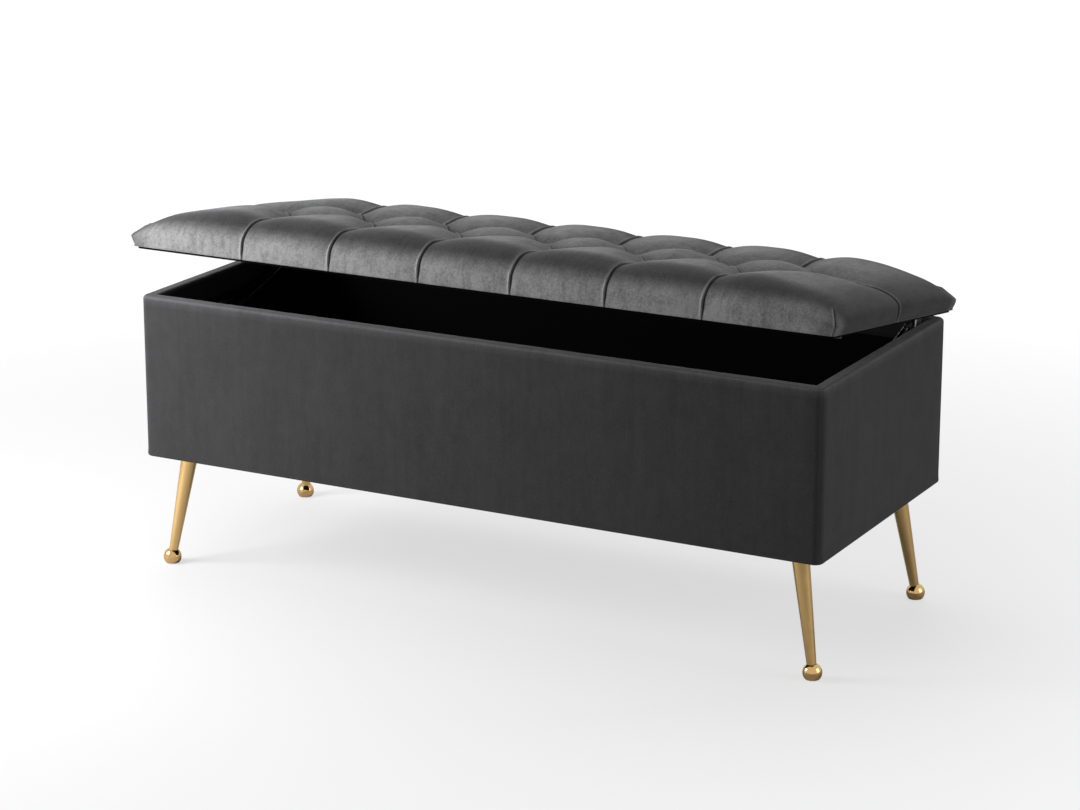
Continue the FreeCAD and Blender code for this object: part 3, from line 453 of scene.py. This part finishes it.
@dataclass
class TuftedCushion:
    """The deep-tufted lid cushion, modelled on the shut lid and then opened with it."""

    lid: LidFrame
    paint: Paintbox
    end_margin: float = 115 * MM
    side_margin: float = 132 * MM
    outer_row: int = 6
    side_height: float = 20 * MM
    side_rows: int = 5
    turn_under: float = 14 * MM
    end_roll: float = 40 * MM
    end_slope: float = 150 * MM
    side_roll: float = 62 * MM
    corner_radius: float = 8 * MM
    end_bulge: float = 6 * MM
    side_bulge: float = 3 * MM
    tuck_under: float = 1 * MM
    tuft_depth: float = 21 * MM
    pit_depth: float = 8 * MM
    pit_radius: float = 12 * MM
    fold_depth: float = 13 * MM
    edge_fold_depth: float = 3.5 * MM
    lip_height: float = 2.4 * MM
    lip_width: float = 1.5 * MM
    crease_depth: float = 3.4 * MM
    crease_width: float = 0.9 * MM
    edge_settle: float = 0.3
    settle_reach: float = 45 * MM
    pillow_reach: float = 66 * MM
    cell: float = 5.5 * MM
    button_radius: float = 10 * MM
    button_height: float = 7 * MM
    tufts: list[Vector] = field(default_factory=list)
    pleats: list[Pleat] = field(default_factory=list)

    def __post_init__(self) -> None:
        """Take the outline from the CAD cover and lay out tufts and pleats."""
        low, high = self.lid.shut_box("lid_cover")
        self.half_x = (high.x - low.x) / 2
        self.half_y = (high.y - low.y) / 2
        self.middle_y = (high.y + low.y) / 2
        self.bottom = low.z
        self.top = high.z
        self._lay_out_tufts()

    def _lay_out_tufts(self) -> None:
        """Fill in the tufts, row by row, and the pleats that run from them."""
        pitch = 2 * (self.half_x - self.end_margin) / self.outer_row
        spacing = self.half_y - self.side_margin
        rows: list[list[Vector]] = []
        for row in (-1, 0, 1):
            count = self.outer_row + 1 if row == 0 else self.outer_row
            first = -pitch * (count - 1) / 2
            y = self.middle_y + row * spacing
            rows.append([Vector((first + index * pitch, y)) for index in range(count)])
        self.tufts = [tuft for row in rows for tuft in row]
        deep, mid, edge, reach = self.tuft_depth, self.fold_depth, self.edge_fold_depth, self.pillow_reach
        for side, outer in ((-1, rows[0]), (1, rows[2])):
            for index, tuft in enumerate(outer):
                for inner in (rows[1][index], rows[1][index + 1]):
                    self.pleats.append(Pleat(tuft, inner, deep, mid, deep, reach))
                rim = Vector((tuft.x, self.middle_y + side * self.half_y))
                self.pleats.append(Pleat(tuft, rim, deep, mid * 0.85, edge, reach))
        for side, tuft in ((-1, rows[1][0]), (1, rows[1][-1])):
            rim = Vector((side * self.half_x, tuft.y))
            self.pleats.append(Pleat(tuft, rim, deep, mid * 0.8, edge, reach))
        for side_x in (-1, 1):
            for side_y in (-1, 1):
                self._add_corner_tuck(side_x, side_y)

    def _add_corner_tuck(self, side_x: int, side_y: int) -> None:
        """Add the short tuck where the velvet of the long side laps behind that of the end."""
        corner = Vector((side_x * (self.half_x - 1 * MM), self.middle_y + side_y * (self.half_y - 1 * MM)))
        inner = Vector((side_x * (self.half_x - 14 * MM), self.middle_y + side_y * (self.half_y - 24 * MM)))
        self.pleats.append(Pleat(inner, corner, 0.2 * MM, 1.5 * MM, 1.2 * MM, 14 * MM))

    def _inset(self, x: float, y: float) -> tuple[float, float]:
        """Return the distances in from the ends and from the long sides."""
        return self.half_x - abs(x), self.half_y - abs(y - self.middle_y)

    def _crown(self, x: float, y: float) -> float:
        """Return the height of the untufted cushion above its bottom."""
        from_end, from_side = self._inset(x, y)
        roll = math.sqrt(max(0.0, 1.0 - (1.0 - min(1.0, from_end / self.end_roll)) ** 2))
        slope = math.sin(math.pi / 2 * min(1.0, from_end / self.end_slope))
        over_side = math.sqrt(max(0.0, 1.0 - (1.0 - min(1.0, from_side / self.side_roll)) ** 2))
        rise = self.top - self.bottom - self.side_height
        return self.side_height + rise * (0.5 * roll + 0.5 * slope) * over_side

    def _pull(self, x: float, y: float) -> tuple[float, float]:
        """Return how far the velvet is pulled in at a point, and the nearest fold's distance.

        The distance is above zero on the side whose velvet laps over the fold.
        """
        total = 0.0
        nearest = 1.0
        for pleat in self.pleats:
            gap, share = pleat.measure(x, y)
            if abs(gap) < abs(nearest):
                nearest = gap * pleat.lip_side
            if abs(gap) < pleat.reach:
                slope = (1.0 - abs(gap) / pleat.reach) ** 2.3
                total += (pleat.depth(share) * slope) ** 5
        for tuft in self.tufts:
            gap = math.hypot(x - tuft.x, y - tuft.y)
            if gap < 4 * self.pit_radius:
                pit = (self.tuft_depth + self.pit_depth) * math.exp(-((gap / self.pit_radius) ** 1.5))
                total += (pit * 0.9) ** 5
        return total**0.2, nearest

    def _lattice_line(self, half: float, roll: float) -> list[float]:
        """Return the places of lattice lines from one edge to the other, closer over the roll."""
        steps = max(8, round(roll * 1.2 / self.cell))
        rolled = [half - roll * (1 - math.cos(math.pi / 2 * index / steps)) for index in range(steps)]
        flat = half - roll
        count = max(2, round(2 * flat / self.cell))
        middle = [flat - 2 * flat * index / count for index in range(count + 1)]
        return rolled + middle + [-place for place in reversed(rolled)]

    def build(self) -> bpy.types.Object:
        """Return the finished cushion piece."""
        xs = self._lattice_line(self.half_x, self.end_roll)
        ys = self._lattice_line(self.half_y, self.side_roll)
        mesh = bmesh.new()
        bmesh.ops.create_grid(mesh, x_segments=len(xs) - 1, y_segments=len(ys) - 1, size=1.0)
        for vertex in mesh.verts:
            column = round((1 - vertex.co.x) / 2 * (len(xs) - 1))
            row = round((1 - vertex.co.y) / 2 * (len(ys) - 1))
            vertex.co = Vector((xs[column], ys[row] + self.middle_y, 0.0))
        self._add_sides(mesh)
        self._refine_pleats(mesh)
        self._shape(mesh)
        mesh.transform(self.lid.opened)
        piece = new_object("tufted_lid_cushion", mesh, self.paint.get(Finish.LID_VELVET))
        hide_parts("lid_cover", "lid_foam")
        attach(piece, "lid")
        return piece

    def _add_sides(self, mesh: bmesh.types.BMesh) -> None:
        """Extrude the outline down to the cushion's bottom and turn it under."""
        rim = [edge for edge in mesh.edges if edge.is_boundary]
        drop = -self.side_height / self.side_rows
        for _ in range(self.side_rows):
            made = bmesh.ops.extrude_edge_only(mesh, edges=rim)["geom"]
            lowered = [item for item in made if isinstance(item, bmesh.types.BMVert)]
            bmesh.ops.translate(mesh, vec=(0, 0, drop), verts=lowered)
            rim = [item for item in made if isinstance(item, bmesh.types.BMEdge) and item.is_boundary]
        made = bmesh.ops.extrude_edge_only(mesh, edges=rim)["geom"]
        inner = [item for item in made if isinstance(item, bmesh.types.BMVert)]
        for vertex in inner:
            from_middle = vertex.co.y - self.middle_y
            vertex.co.x *= 1 - self.turn_under / self.half_x
            vertex.co.y = self.middle_y + from_middle * (1 - self.turn_under / self.half_y)
        floor = [item for item in made if isinstance(item, bmesh.types.BMEdge) and item.is_boundary]
        bmesh.ops.holes_fill(mesh, edges=floor, sides=0)

    def _refine_pleats(self, mesh: bmesh.types.BMesh) -> None:
        """Cut edges along every fold and beside it, so that the fold's lip has real shape."""
        offsets = [step * MM for step in (0.0, 0.8, 1.6, 2.6, 3.8, 5.4, -0.8, -1.8, -3.4)]
        band = 7 * MM
        most_corners = 12
        for pleat in self.pleats:
            run = (pleat.end - pleat.start).normalized()
            across = Vector((run.y, -run.x, 0.0)) * pleat.lip_side
            for offset in offsets:
                near = []
                for face in mesh.faces:
                    if len(face.verts) > most_corners:
                        continue
                    middle = face.calc_center_median()
                    if middle.z < -self.side_height - MM:
                        continue
                    gap, _ = pleat.measure(middle.x, middle.y)
                    if abs(gap) < band:
                        near.append(face)
                geometry = near + list({edge for face in near for edge in face.edges})
                geometry += list({vertex for face in near for vertex in face.verts})
                origin = Vector((pleat.start.x, pleat.start.y, 0.0)) + across * offset
                bmesh.ops.bisect_plane(mesh, geom=geometry, dist=0.05 * MM, plane_co=origin, plane_no=across)

    def _shape(self, mesh: bmesh.types.BMesh) -> None:
        """Raise the crown, round the corners, pull in the folds and press in the lips, and store each vertex's
        painted light and shade.
        """
        # This layer holds each vertex's painted light and shade, which scales the velvet's colour.
        tone_and_painted_light = mesh.verts.layers.float.new("tone_and_painted_light")
        for vertex in mesh.verts:
            flat = vertex.co.copy()
            lowered = -min(0.0, flat.z)
            x, y = flat.x, flat.y
            inward = self._inward(x, y)
            pull, gap = self._pull(x, y)
            gathers = self._gathers(x, y, gap)
            from_corner = math.hypot(*self._inset(x, y))
            settle = 1.0 - self.edge_settle * math.exp(-from_corner / self.settle_reach)
            lip = self.lip_height * math.exp(-(((gap - 2.6 * MM) / self.lip_width) ** 2))
            trench = self.crease_depth * math.exp(-((gap / self.crease_width) ** 2))
            on_top = self._crown(x, y) * settle
            if lowered <= 0.0:
                height = on_top
                tilt = smoothstep(self.side_roll, 0.0, min(self._inset(x, y)))
            else:
                height = (self.side_height - lowered) * settle
                tilt = 1.0
                fade = smoothstep(0.0, self.side_height, height)
                pull, lip, trench = pull * fade, lip * (0.2 + 0.8 * fade), trench * fade
                gathers *= fade
            total = pull + trench - lip + gathers
            total += 0.8 * MM * ripple(flat, 14.0, 3.0) * (1.0 if lowered <= 0.0 else 0.4)
            direction = Vector((inward.x * tilt, inward.y * tilt, -math.sqrt(max(0.0, 1.0 - tilt * tilt))))
            place = self._bulged(self._round_corner(x, y), height, lowered)
            vertex.co = Vector((place.x, place.y, self.bottom + height)) + direction * total
            vertex[tone_and_painted_light] = self._painted_light_and_tone(x, y, height, pull, gap)

    def _gathers(self, x: float, y: float, gap: float) -> float:
        """Return the small puckers that run out from the tufts and across the folds."""
        total = 0.0
        for index, tuft in enumerate(self.tufts):
            reach = math.hypot(x - tuft.x, y - tuft.y)
            if 4 * MM < reach < 70 * MM:
                around = math.atan2(y - tuft.y, x - tuft.x)
                wave = math.cos(7 * around + index) + 0.6 * math.cos(11 * around + 2.3 * index)
                total += 0.75 * MM * wave * smoothstep(4 * MM, 14 * MM, reach) * math.exp(-reach / (22 * MM))
        across = ripple(Vector((x, y, 0.0)), 95.0, 11.0)
        return total + 0.7 * MM * across * math.exp(-abs(gap) / (9 * MM))

    def _bulged(self, place: Vector, height: float, lowered: float) -> Vector:
        """Return a plan point pushed out round the middle of the sides and tucked in at the bottom."""
        from_end, from_side = self._inset(place.x, place.y)
        swell = math.sin(math.pi * min(1.0, max(0.0, height / (2.2 * self.side_height)))) ** 0.8
        under = (lowered / self.side_height) ** 2 * self.tuck_under if lowered > 0 else 0.0
        share_end = math.exp(-max(0.0, from_end) / (30 * MM))
        share_side = math.exp(-max(0.0, from_side) / (20 * MM))
        out_x = (self.end_bulge * swell - under) * share_end
        out_y = (self.side_bulge * swell - under) * share_side
        moved_x = place.x + math.copysign(out_x, place.x)
        moved_y = place.y + math.copysign(out_y, place.y - self.middle_y)
        return Vector((moved_x, moved_y))

    def _inward(self, x: float, y: float) -> Vector:
        """Return the direction in from the nearest edges, as a flat unit vector."""
        from_end, from_side = self._inset(x, y)
        weight_end = math.exp(-from_end / (12 * MM))
        weight_side = math.exp(-from_side / (12 * MM))
        inward = Vector((-math.copysign(weight_end, x), -math.copysign(weight_side, y - self.middle_y), 0.0))
        return inward.normalized() if inward.length > 1e-9 else Vector((0.0, 0.0, 0.0))

    def _round_corner(self, x: float, y: float) -> Vector:
        """Return a point moved in where the outline's corner is rounded."""
        radius = self.corner_radius
        dx = abs(x) - (self.half_x - radius)
        dy = abs(y - self.middle_y) - (self.half_y - radius)
        if dx <= 0 or dy <= 0:
            return Vector((x, y))
        reach = math.hypot(dx, dy)
        shrink = max(dx, dy) / reach
        moved_x = math.copysign(self.half_x - radius + dx * shrink, x)
        moved_y = self.middle_y + math.copysign(self.half_y - radius + dy * shrink, y - self.middle_y)
        return Vector((moved_x, moved_y))

    def _painted_light_and_tone(self, x: float, y: float, height: float, pull: float, gap: float) -> float:
        """Return the cushion's painted light and shade: painted light low on the long sides and on the top,
        painted shade over the roll, in the pulled-in tufts and in the fold creases, and a painted highlight on
        each fold's lip.
        """
        from_end, from_side = self._inset(x, y)
        facing_side = 1.0 - smoothstep(6 * MM, 34 * MM, from_side)
        near_end = 1.0 - smoothstep(0.0, 40 * MM, from_end)
        # Painted light: the low part of each long side is painted lit, less so near the ends.
        low = (1.0 - smoothstep(22 * MM, 52 * MM, height)) * facing_side * (1.0 - 0.6 * near_end)
        # Painted light on the flat top; between it and the lit sides the roll is left dark as painted shade.
        painted_top_light = smoothstep(34 * MM, 80 * MM, from_side) * smoothstep(0.0, 90 * MM, from_end)
        # The pulled-in tufts and folds on the top are painted darker as shade.
        tone_and_shade = 0.10 + 0.75 * low + 0.40 * painted_top_light - 11.0 * pull * painted_top_light
        # Painted highlight on each fold's lip, and painted shade down in its crease.
        painted_lip_highlight = math.exp(-(((gap - 2.3 * MM) / (1.1 * MM)) ** 2))
        painted_crease_shade = math.exp(-((gap / (1.3 * MM)) ** 2))
        return max(0.01, (tone_and_shade + 0.5 * painted_lip_highlight) * (1.0 - 0.95 * painted_crease_shade))

    def build_buttons(self) -> bpy.types.Object:
        """Return the covered buttons, one at the bottom of every tuft."""
        mesh = bmesh.new()
        for tuft in self.tufts:
            seat = self.bottom + self._crown(tuft.x, tuft.y) - self.tuft_depth - 0.55 * self.pit_depth
            made = bmesh.ops.create_uvsphere(
                mesh, u_segments=28, v_segments=14, radius=self.button_radius
            )["verts"]
            squash = self.button_height / self.button_radius
            bmesh.ops.scale(mesh, vec=(1, 1, squash), verts=made)
            bmesh.ops.translate(mesh, vec=(tuft.x, tuft.y, seat), verts=made)
        tone_and_painted_light = mesh.verts.layers.float.new("tone_and_painted_light")
        for vertex in mesh.verts:
            vertex[tone_and_painted_light] = 0.6
        mesh.transform(self.lid.opened)
        piece = new_object("covered_tuft_buttons", mesh, self.paint.get(Finish.BUTTON_VELVET))
        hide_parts("tuft_buttons")
        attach(piece, "lid")
        return piece


# ---------------------------------------------------------------- box covers


@dataclass
class BoxCovers:
    """The four velvet covers of the box, folded over the rim and under the bottom edge."""

    paint: Paintbox
    corner_radius: float = 13 * MM
    rim_width: float = 22 * MM
    rim_round: float = 6 * MM
    turn_down: float = 35 * MM
    turn_in: float = 20 * MM
    foot_round: float = 3 * MM
    skin: float = 1.0 * MM
    cell: float = 9 * MM

    def __post_init__(self) -> None:
        """Take the box's outline from the CAD covers."""
        low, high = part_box("front_cover")
        self.bottom = low[2]
        self.top = high[2]
        self.half_y = -low[1]
        self.half_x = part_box("right_end_cover")[1][0]

    def profile(self) -> list[tuple[float, float]]:
        """Return the cover's section as (distance in from the outer face, height).

        It starts at the foot of the turn-down inside, goes over the rim and down the outside,
        and ends at the inner edge of the turn-in underneath.
        """
        points: list[tuple[float, float]] = []
        inside = self.turn_down - self.rim_round
        for index in range(4):
            points.append((self.rim_width, self.top - self.turn_down + inside * index / 4))
        points += self._arc(self.rim_width - self.rim_round, self.top - self.rim_round, self.rim_round, 0, 90)
        points += [(self.rim_width / 2, self.top)]
        points += self._arc(self.rim_round, self.top - self.rim_round, self.rim_round, 90, 180)
        span = self.top - self.rim_round - self.bottom - self.foot_round
        count = round(span / self.cell)
        for index in range(1, count):
            points.append((0.0, self.top - self.rim_round - span * index / count))
        points += self._arc(self.foot_round, self.bottom + self.foot_round, self.foot_round, 180, 270)
        points.append((self.turn_in, self.bottom))
        return points

    def _arc(
        self, inset: float, height: float, radius: float, first: float, last: float
    ) -> list[tuple[float, float]]:
        """Return points round an arc; 0 degrees faces inwards and 90 degrees up."""
        points = []
        steps = 5
        for index in range(steps + 1):
            angle = math.radians(first + (last - first) * index / steps)
            points.append((inset + radius * math.cos(angle), height + radius * math.sin(angle)))
        return points

    def build(self) -> list[bpy.types.Object]:
        """Return the four covers."""
        sides = {
            "front_cover": (self.half_x, self.half_y, 0.0),
            "rear_cover": (self.half_x, self.half_y, math.pi),
            "left_end_cover": (self.half_y, self.half_x, -math.pi / 2),
            "right_end_cover": (self.half_y, self.half_x, math.pi / 2),
        }
        return [self._build_side(node, *sizes) for node, sizes in sides.items()]

    def _build_side(self, node: str, half_run: float, half_across: float, turn: float) -> bpy.types.Object:
        """Return one cover.

        Args:
            node: The CAD cover that it replaces.
            half_run: Half the box's size along this side.
            half_across: The distance from the middle to this side.
            turn: The side's turn about the vertical; 0 is the front.
        """
        section = self.profile()
        straight = round(2 * (half_run - self.corner_radius) / self.cell)
        arc_steps = 5
        columns = straight + 2 * arc_steps
        mesh = bmesh.new()
        bmesh.ops.create_grid(mesh, x_segments=columns, y_segments=len(section) - 1, size=1.0)
        # This layer holds the covers' tone and painted light, which scales the velvet's colour.
        tone_and_painted_light = mesh.verts.layers.float.new("tone_and_painted_light")
        for vertex in mesh.verts:
            column = round((vertex.co.x + 1) / 2 * columns)
            row = round((vertex.co.y + 1) / 2 * (len(section) - 1))
            inset, height = section[row]
            vertex[tone_and_painted_light] = self._painted_light_and_tone(inset, height)
            place = self._station(column, arc_steps, straight, inset, half_run, half_across)
            edge_gap = self._seam_gap(column, columns, arc_steps)
            vertex.co = self._settle(place, height, inset, edge_gap, half_run)
        around = Matrix.Rotation(turn, 4, "Z")
        mesh.transform(around)
        outwards = around @ Vector((0.0, -1.0, 0.0))
        piece = new_object(f"velvet_{node}", mesh, self.paint.get(Finish.BOX_VELVET), outwards)
        solidify(piece, self.skin)
        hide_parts(node)
        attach(piece, "box")
        return piece

    def _painted_light_and_tone(self, inset: float, height: float) -> float:
        """Return the covers' tone with painted light: the rim's top painted lighter than the panels, and a
        painted highlight along its rounded outer edge.
        """
        # Painted light: the rim's top is painted lighter than the panels.
        painted_rim_light = smoothstep(self.top - 9 * MM, self.top - 2 * MM, height)
        shoulder = self.rim_round * (1.0 - math.cos(math.pi / 4))
        away = math.hypot(inset - shoulder, self.top - shoulder - height)
        # Painted highlight along the rounded outer edge of the rim.
        painted_edge_highlight = math.exp(-((away / (1.3 * MM)) ** 2))
        return 0.30 + 0.42 * painted_rim_light + 0.45 * painted_edge_highlight if inset < self.rim_width else 0.3

    def _station(
        self, column: int, arc_steps: int, straight: int, inset: float, half_run: float, half_across: float
    ) -> Vector:
        """Return the plan place of a lattice column at an inset, on the front side."""
        radius = max(self.corner_radius - inset, 0.6 * MM)
        centre_run = half_run - inset - radius
        centre_across = half_across - inset - radius
        if arc_steps <= column <= arc_steps + straight:
            share = (column - arc_steps) / straight
            return Vector((centre_run * (2 * share - 1), -(centre_across + radius), 0.0))
        from_end = column if column < arc_steps else 2 * arc_steps + straight - column
        side = -1.0 if column < arc_steps else 1.0
        angle = math.pi / 4 * (1 - from_end / arc_steps)
        run = centre_run + radius * math.sin(angle)
        return Vector((side * run, -(centre_across + radius * math.cos(angle)), 0.0))

    def _seam_gap(self, column: int, columns: int, arc_steps: int) -> float:
        """Return the distance round the corner to the nearer mitred seam."""
        from_end = min(column, columns - column)
        step = self.corner_radius * math.pi / 4 / arc_steps
        return from_end * step if from_end <= arc_steps else 1.0

    def _settle(
        self, place: Vector, height: float, inset: float, seam_gap: float, half_run: float
    ) -> Vector:
        """Return a vertex with the velvet's small unevenness and its seam's dip."""
        point = Vector((place.x, place.y, height))
        dip = 0.8 * MM * math.exp(-seam_gap / (1.5 * MM))
        slack = 0.8 * MM * ripple(point, 6.0, 1.0) + 0.35 * MM * ripple(point, 26.0, 5.0)
        near_rim = smoothstep(self.top - 40 * MM, self.top, height)
        slack += 0.5 * MM * near_rim * ripple(Vector((point.x * 2.2, 0.0, height)), 26.0, 9.0)
        inward = dip + 0.6 * MM + slack * smoothstep(0.0, 30 * MM, half_run - abs(place.x))
        on_outside = inset < self.rim_round and height > self.bottom + self.foot_round
        if on_outside:
            point.y += inward
        elif height > self.top - self.rim_round:
            point.z -= dip + 0.3 * MM + abs(slack) * 0.5
        return point


# ---------------------------------------------------------------- lining


@dataclass
class Lining:
    """The loose black lining of the compartment."""

    paint: Paintbox
    cell: float = 22 * MM
    slack: float = 1.2 * MM
    skin: float = 0.4 * MM

    def build(self) -> bpy.types.Object:
        """Return the lining as an open tray with a little slack in the cloth."""
        low, high = (Vector(corner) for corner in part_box("compartment_lining"))
        size = high - low
        mesh = bmesh.new()
        bmesh.ops.create_cube(mesh, size=1.0)
        top = [face for face in mesh.faces if face.normal.z > 0.5]
        bmesh.ops.delete(mesh, geom=top, context="FACES_ONLY")
        for vertex in mesh.verts:
            vertex.co = Vector([low[axis] + (vertex.co[axis] + 0.5) * size[axis] for axis in range(3)])
        for axis in range(3):
            cuts = round(size[axis] / self.cell)
            along = []
            for edge in mesh.edges:
                run = edge.verts[0].co - edge.verts[1].co
                if abs(run[axis]) > size[axis] * 0.9:
                    along.append(edge)
            bmesh.ops.subdivide_edges(mesh, edges=along, cuts=cuts, use_grid_fill=True)
        middle = (low + high) / 2
        for vertex in mesh.verts:
            wave = self.slack * (1 + ripple(vertex.co, 9.0, 2.0) + 0.5 * ripple(vertex.co, 28.0, 7.0))
            for axis in range(3):
                from_middle = vertex.co[axis] - middle[axis]
                on_wall = abs(abs(from_middle) - size[axis] / 2) < 0.1 * MM
                if on_wall and (axis < 2 or from_middle < 0):
                    vertex.co[axis] += math.copysign(wave + 0.4 * MM, -from_middle)
        cloth = self.paint.get(Finish.LINING)
        piece = new_object("loose_compartment_lining", mesh, cloth, Vector((0.0, 0.0, 1.0)))
        solidify(piece, self.skin)
        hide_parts("compartment_lining")
        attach(piece, "box")
        return piece


# ---------------------------------------------------------------- CAD nodes


@dataclass
class Hardware:
    """The CAD nodes that keep their shape and only get a finish."""

    paint: Paintbox

    def dress(self) -> None:
        """Give every CAD node its finish."""
        by_slot = {
            "gold_metal": Finish.LEG_METAL,
            "gold_polished": Finish.BALL_METAL,
            "zinc_steel": Finish.STEEL,
            "chrome_rod": Finish.CHROME,
            "board": Finish.BOARD,
            "plywood": Finish.TIMBER,
            "timber": Finish.TIMBER,
            "foam": Finish.FOAM,
            "velvet": Finish.BOX_VELVET,
            "lining": Finish.DUST_COVER,
            "hardboard": Finish.HARDBOARD,
            "glide_plastic": Finish.BLACK_PLASTIC,
            "strut_plastic": Finish.BLACK_PLASTIC,
            "black_enamel": Finish.BLACK_ENAMEL,
            "bumper_rubber": Finish.RUBBER,
        }
        for part in frame["record"]["subparts"]:
            node = frame["nodes"][part["node"]]
            material = self.paint.get(by_slot[part["material_slot"]])
            for slot in node.material_slots:
                slot.material = material


# ---------------------------------------------------------------- studio


@dataclass
class Studio:
    """The pale floor, the soft lights and the camera."""

    azimuth: float = 28.19
    elevation: float = 15.94
    distance: float = 4.686
    target: tuple[float, float, float] = (0.0027, 0.0014, 0.2676)
    lens: float = 107.8
    floor_size: float = 60.0
    ambient: float = 0.15

    def build(self) -> None:
        """Set up floor, world, lights, camera and view settings."""
        self._floor()
        self._world()
        self._light("key", (-1.15, -0.80, 0.72), (-0.40, -0.2, 0.3), 0.6, 24.0)
        self._light("overhead", (-0.4, 0.6, 2.4), (0.0, 0.0, 0.4), 1.8, 30.0)
        self._light("right_fill", (2.5, 0.25, 1.0), (0.5, 0.0, 0.3), 1.4, 18.0)
        self._camera()
        bpy.context.scene.view_settings.view_transform = "Standard"

    def _floor(self) -> None:
        """Lay a pale floor that shows white to the camera and keeps a soft shadow."""
        mesh = bmesh.new()
        bmesh.ops.create_grid(mesh, x_segments=1, y_segments=1, size=self.floor_size / 2)
        material = bpy.data.materials.new("pale_floor")
        material.use_nodes = True
        tree = material.node_tree
        shader = tree.nodes["Principled BSDF"]
        shader.inputs["Base Color"].default_value = (0.64, 0.64, 0.65, 1.0)
        shader.inputs["Roughness"].default_value = 0.6
        shader.inputs["Specular IOR Level"].default_value = 0.1
        glow = tree.nodes.new("ShaderNodeEmission")
        glow.inputs["Strength"].default_value = 1.04
        path = tree.nodes.new("ShaderNodeLightPath")
        place = tree.nodes.new("ShaderNodeTexCoord")
        reach = tree.nodes.new("ShaderNodeVectorMath")
        reach.operation = "LENGTH"
        tree.links.new(place.outputs["Object"], reach.inputs[0])
        whiter = tree.nodes.new("ShaderNodeMapRange")
        whiter.inputs["From Min"].default_value = 0.55
        whiter.inputs["From Max"].default_value = 1.9
        whiter.inputs["To Min"].default_value = 0.62
        tree.links.new(reach.outputs["Value"], whiter.inputs["Value"])
        share = tree.nodes.new("ShaderNodeMath")
        share.operation = "MULTIPLY"
        tree.links.new(whiter.outputs["Result"], share.inputs[1])
        mixer = tree.nodes.new("ShaderNodeMixShader")
        tree.links.new(path.outputs["Is Camera Ray"], share.inputs[0])
        tree.links.new(share.outputs["Value"], mixer.inputs["Fac"])
        tree.links.new(shader.outputs["BSDF"], mixer.inputs[1])
        tree.links.new(glow.outputs["Emission"], mixer.inputs[2])
        tree.links.new(mixer.outputs["Shader"], tree.nodes["Material Output"].inputs["Surface"])
        floor = new_object("floor", mesh, material, smooth=False)

    def _world(self) -> None:
        """Light everything softly from all round, and show white beyond the floor."""
        world = bpy.data.worlds.new("studio")
        world.use_nodes = True
        bpy.context.scene.world = world
        tree = world.node_tree
        background = tree.nodes["Background"]
        background.inputs["Color"].default_value = (1.0, 1.0, 1.0, 1.0)
        path = tree.nodes.new("ShaderNodeLightPath")
        seen = tree.nodes.new("ShaderNodeMath")
        seen.operation = "MAXIMUM"
        tree.links.new(path.outputs["Is Camera Ray"], seen.inputs[0])
        tree.links.new(path.outputs["Is Glossy Ray"], seen.inputs[1])
        level = tree.nodes.new("ShaderNodeMapRange")
        level.inputs["To Min"].default_value = self.ambient
        level.inputs["To Max"].default_value = 1.0
        tree.links.new(seen.outputs["Value"], level.inputs["Value"])
        tree.links.new(level.outputs["Result"], background.inputs["Strength"])

    def _light(
        self, name: str, place: Sequence[float], aim: Sequence[float], size: float, power: float
    ) -> None:
        """Hang one square soft light, aimed at a point."""
        data = bpy.data.lights.new(name, "AREA")
        data.size = size
        data.energy = power
        lamp = bpy.data.objects.new(name, data)
        lamp.location = place
        lamp.rotation_euler = (Vector(aim) - Vector(place)).to_track_quat("-Z", "Y").to_euler()
        bpy.context.collection.objects.link(lamp)

    def _camera(self) -> None:
        """Put the camera in front of the bench, to its right and a little above it."""
        data = bpy.data.cameras.new("camera")
        data.sensor_width = 36.0
        data.lens = self.lens
        data.clip_end = 100.0
        camera = bpy.data.objects.new("camera", data)
        azimuth, elevation = math.radians(self.azimuth), math.radians(self.elevation)
        level = math.cos(elevation)
        back = Vector((math.sin(azimuth) * level, -math.cos(azimuth) * level, math.sin(elevation)))
        camera.location = Vector(self.target) + back * self.distance
        camera.rotation_euler = (-back).to_track_quat("-Z", "Y").to_euler()
        bpy.context.collection.objects.link(camera)
        bpy.context.scene.camera = camera


# ---------------------------------------------------------------- assembly


def main() -> None:
    """Build the bench's looks and the studio round it."""
    logging.basicConfig(level=logging.INFO, format="%(message)s")
    paint = Paintbox()
    Studio().build()
    Hardware(paint).dress()
    lid = LidFrame()
    cushion = TuftedCushion(lid, paint)
    pieces = [cushion.build(), cushion.build_buttons(), *BoxCovers(paint).build(), Lining(paint).build()]
    for piece in pieces:
        LOG.info("%s: %d faces", piece.name, len(piece.data.polygons))


if __name__ == "__main__":
    main()
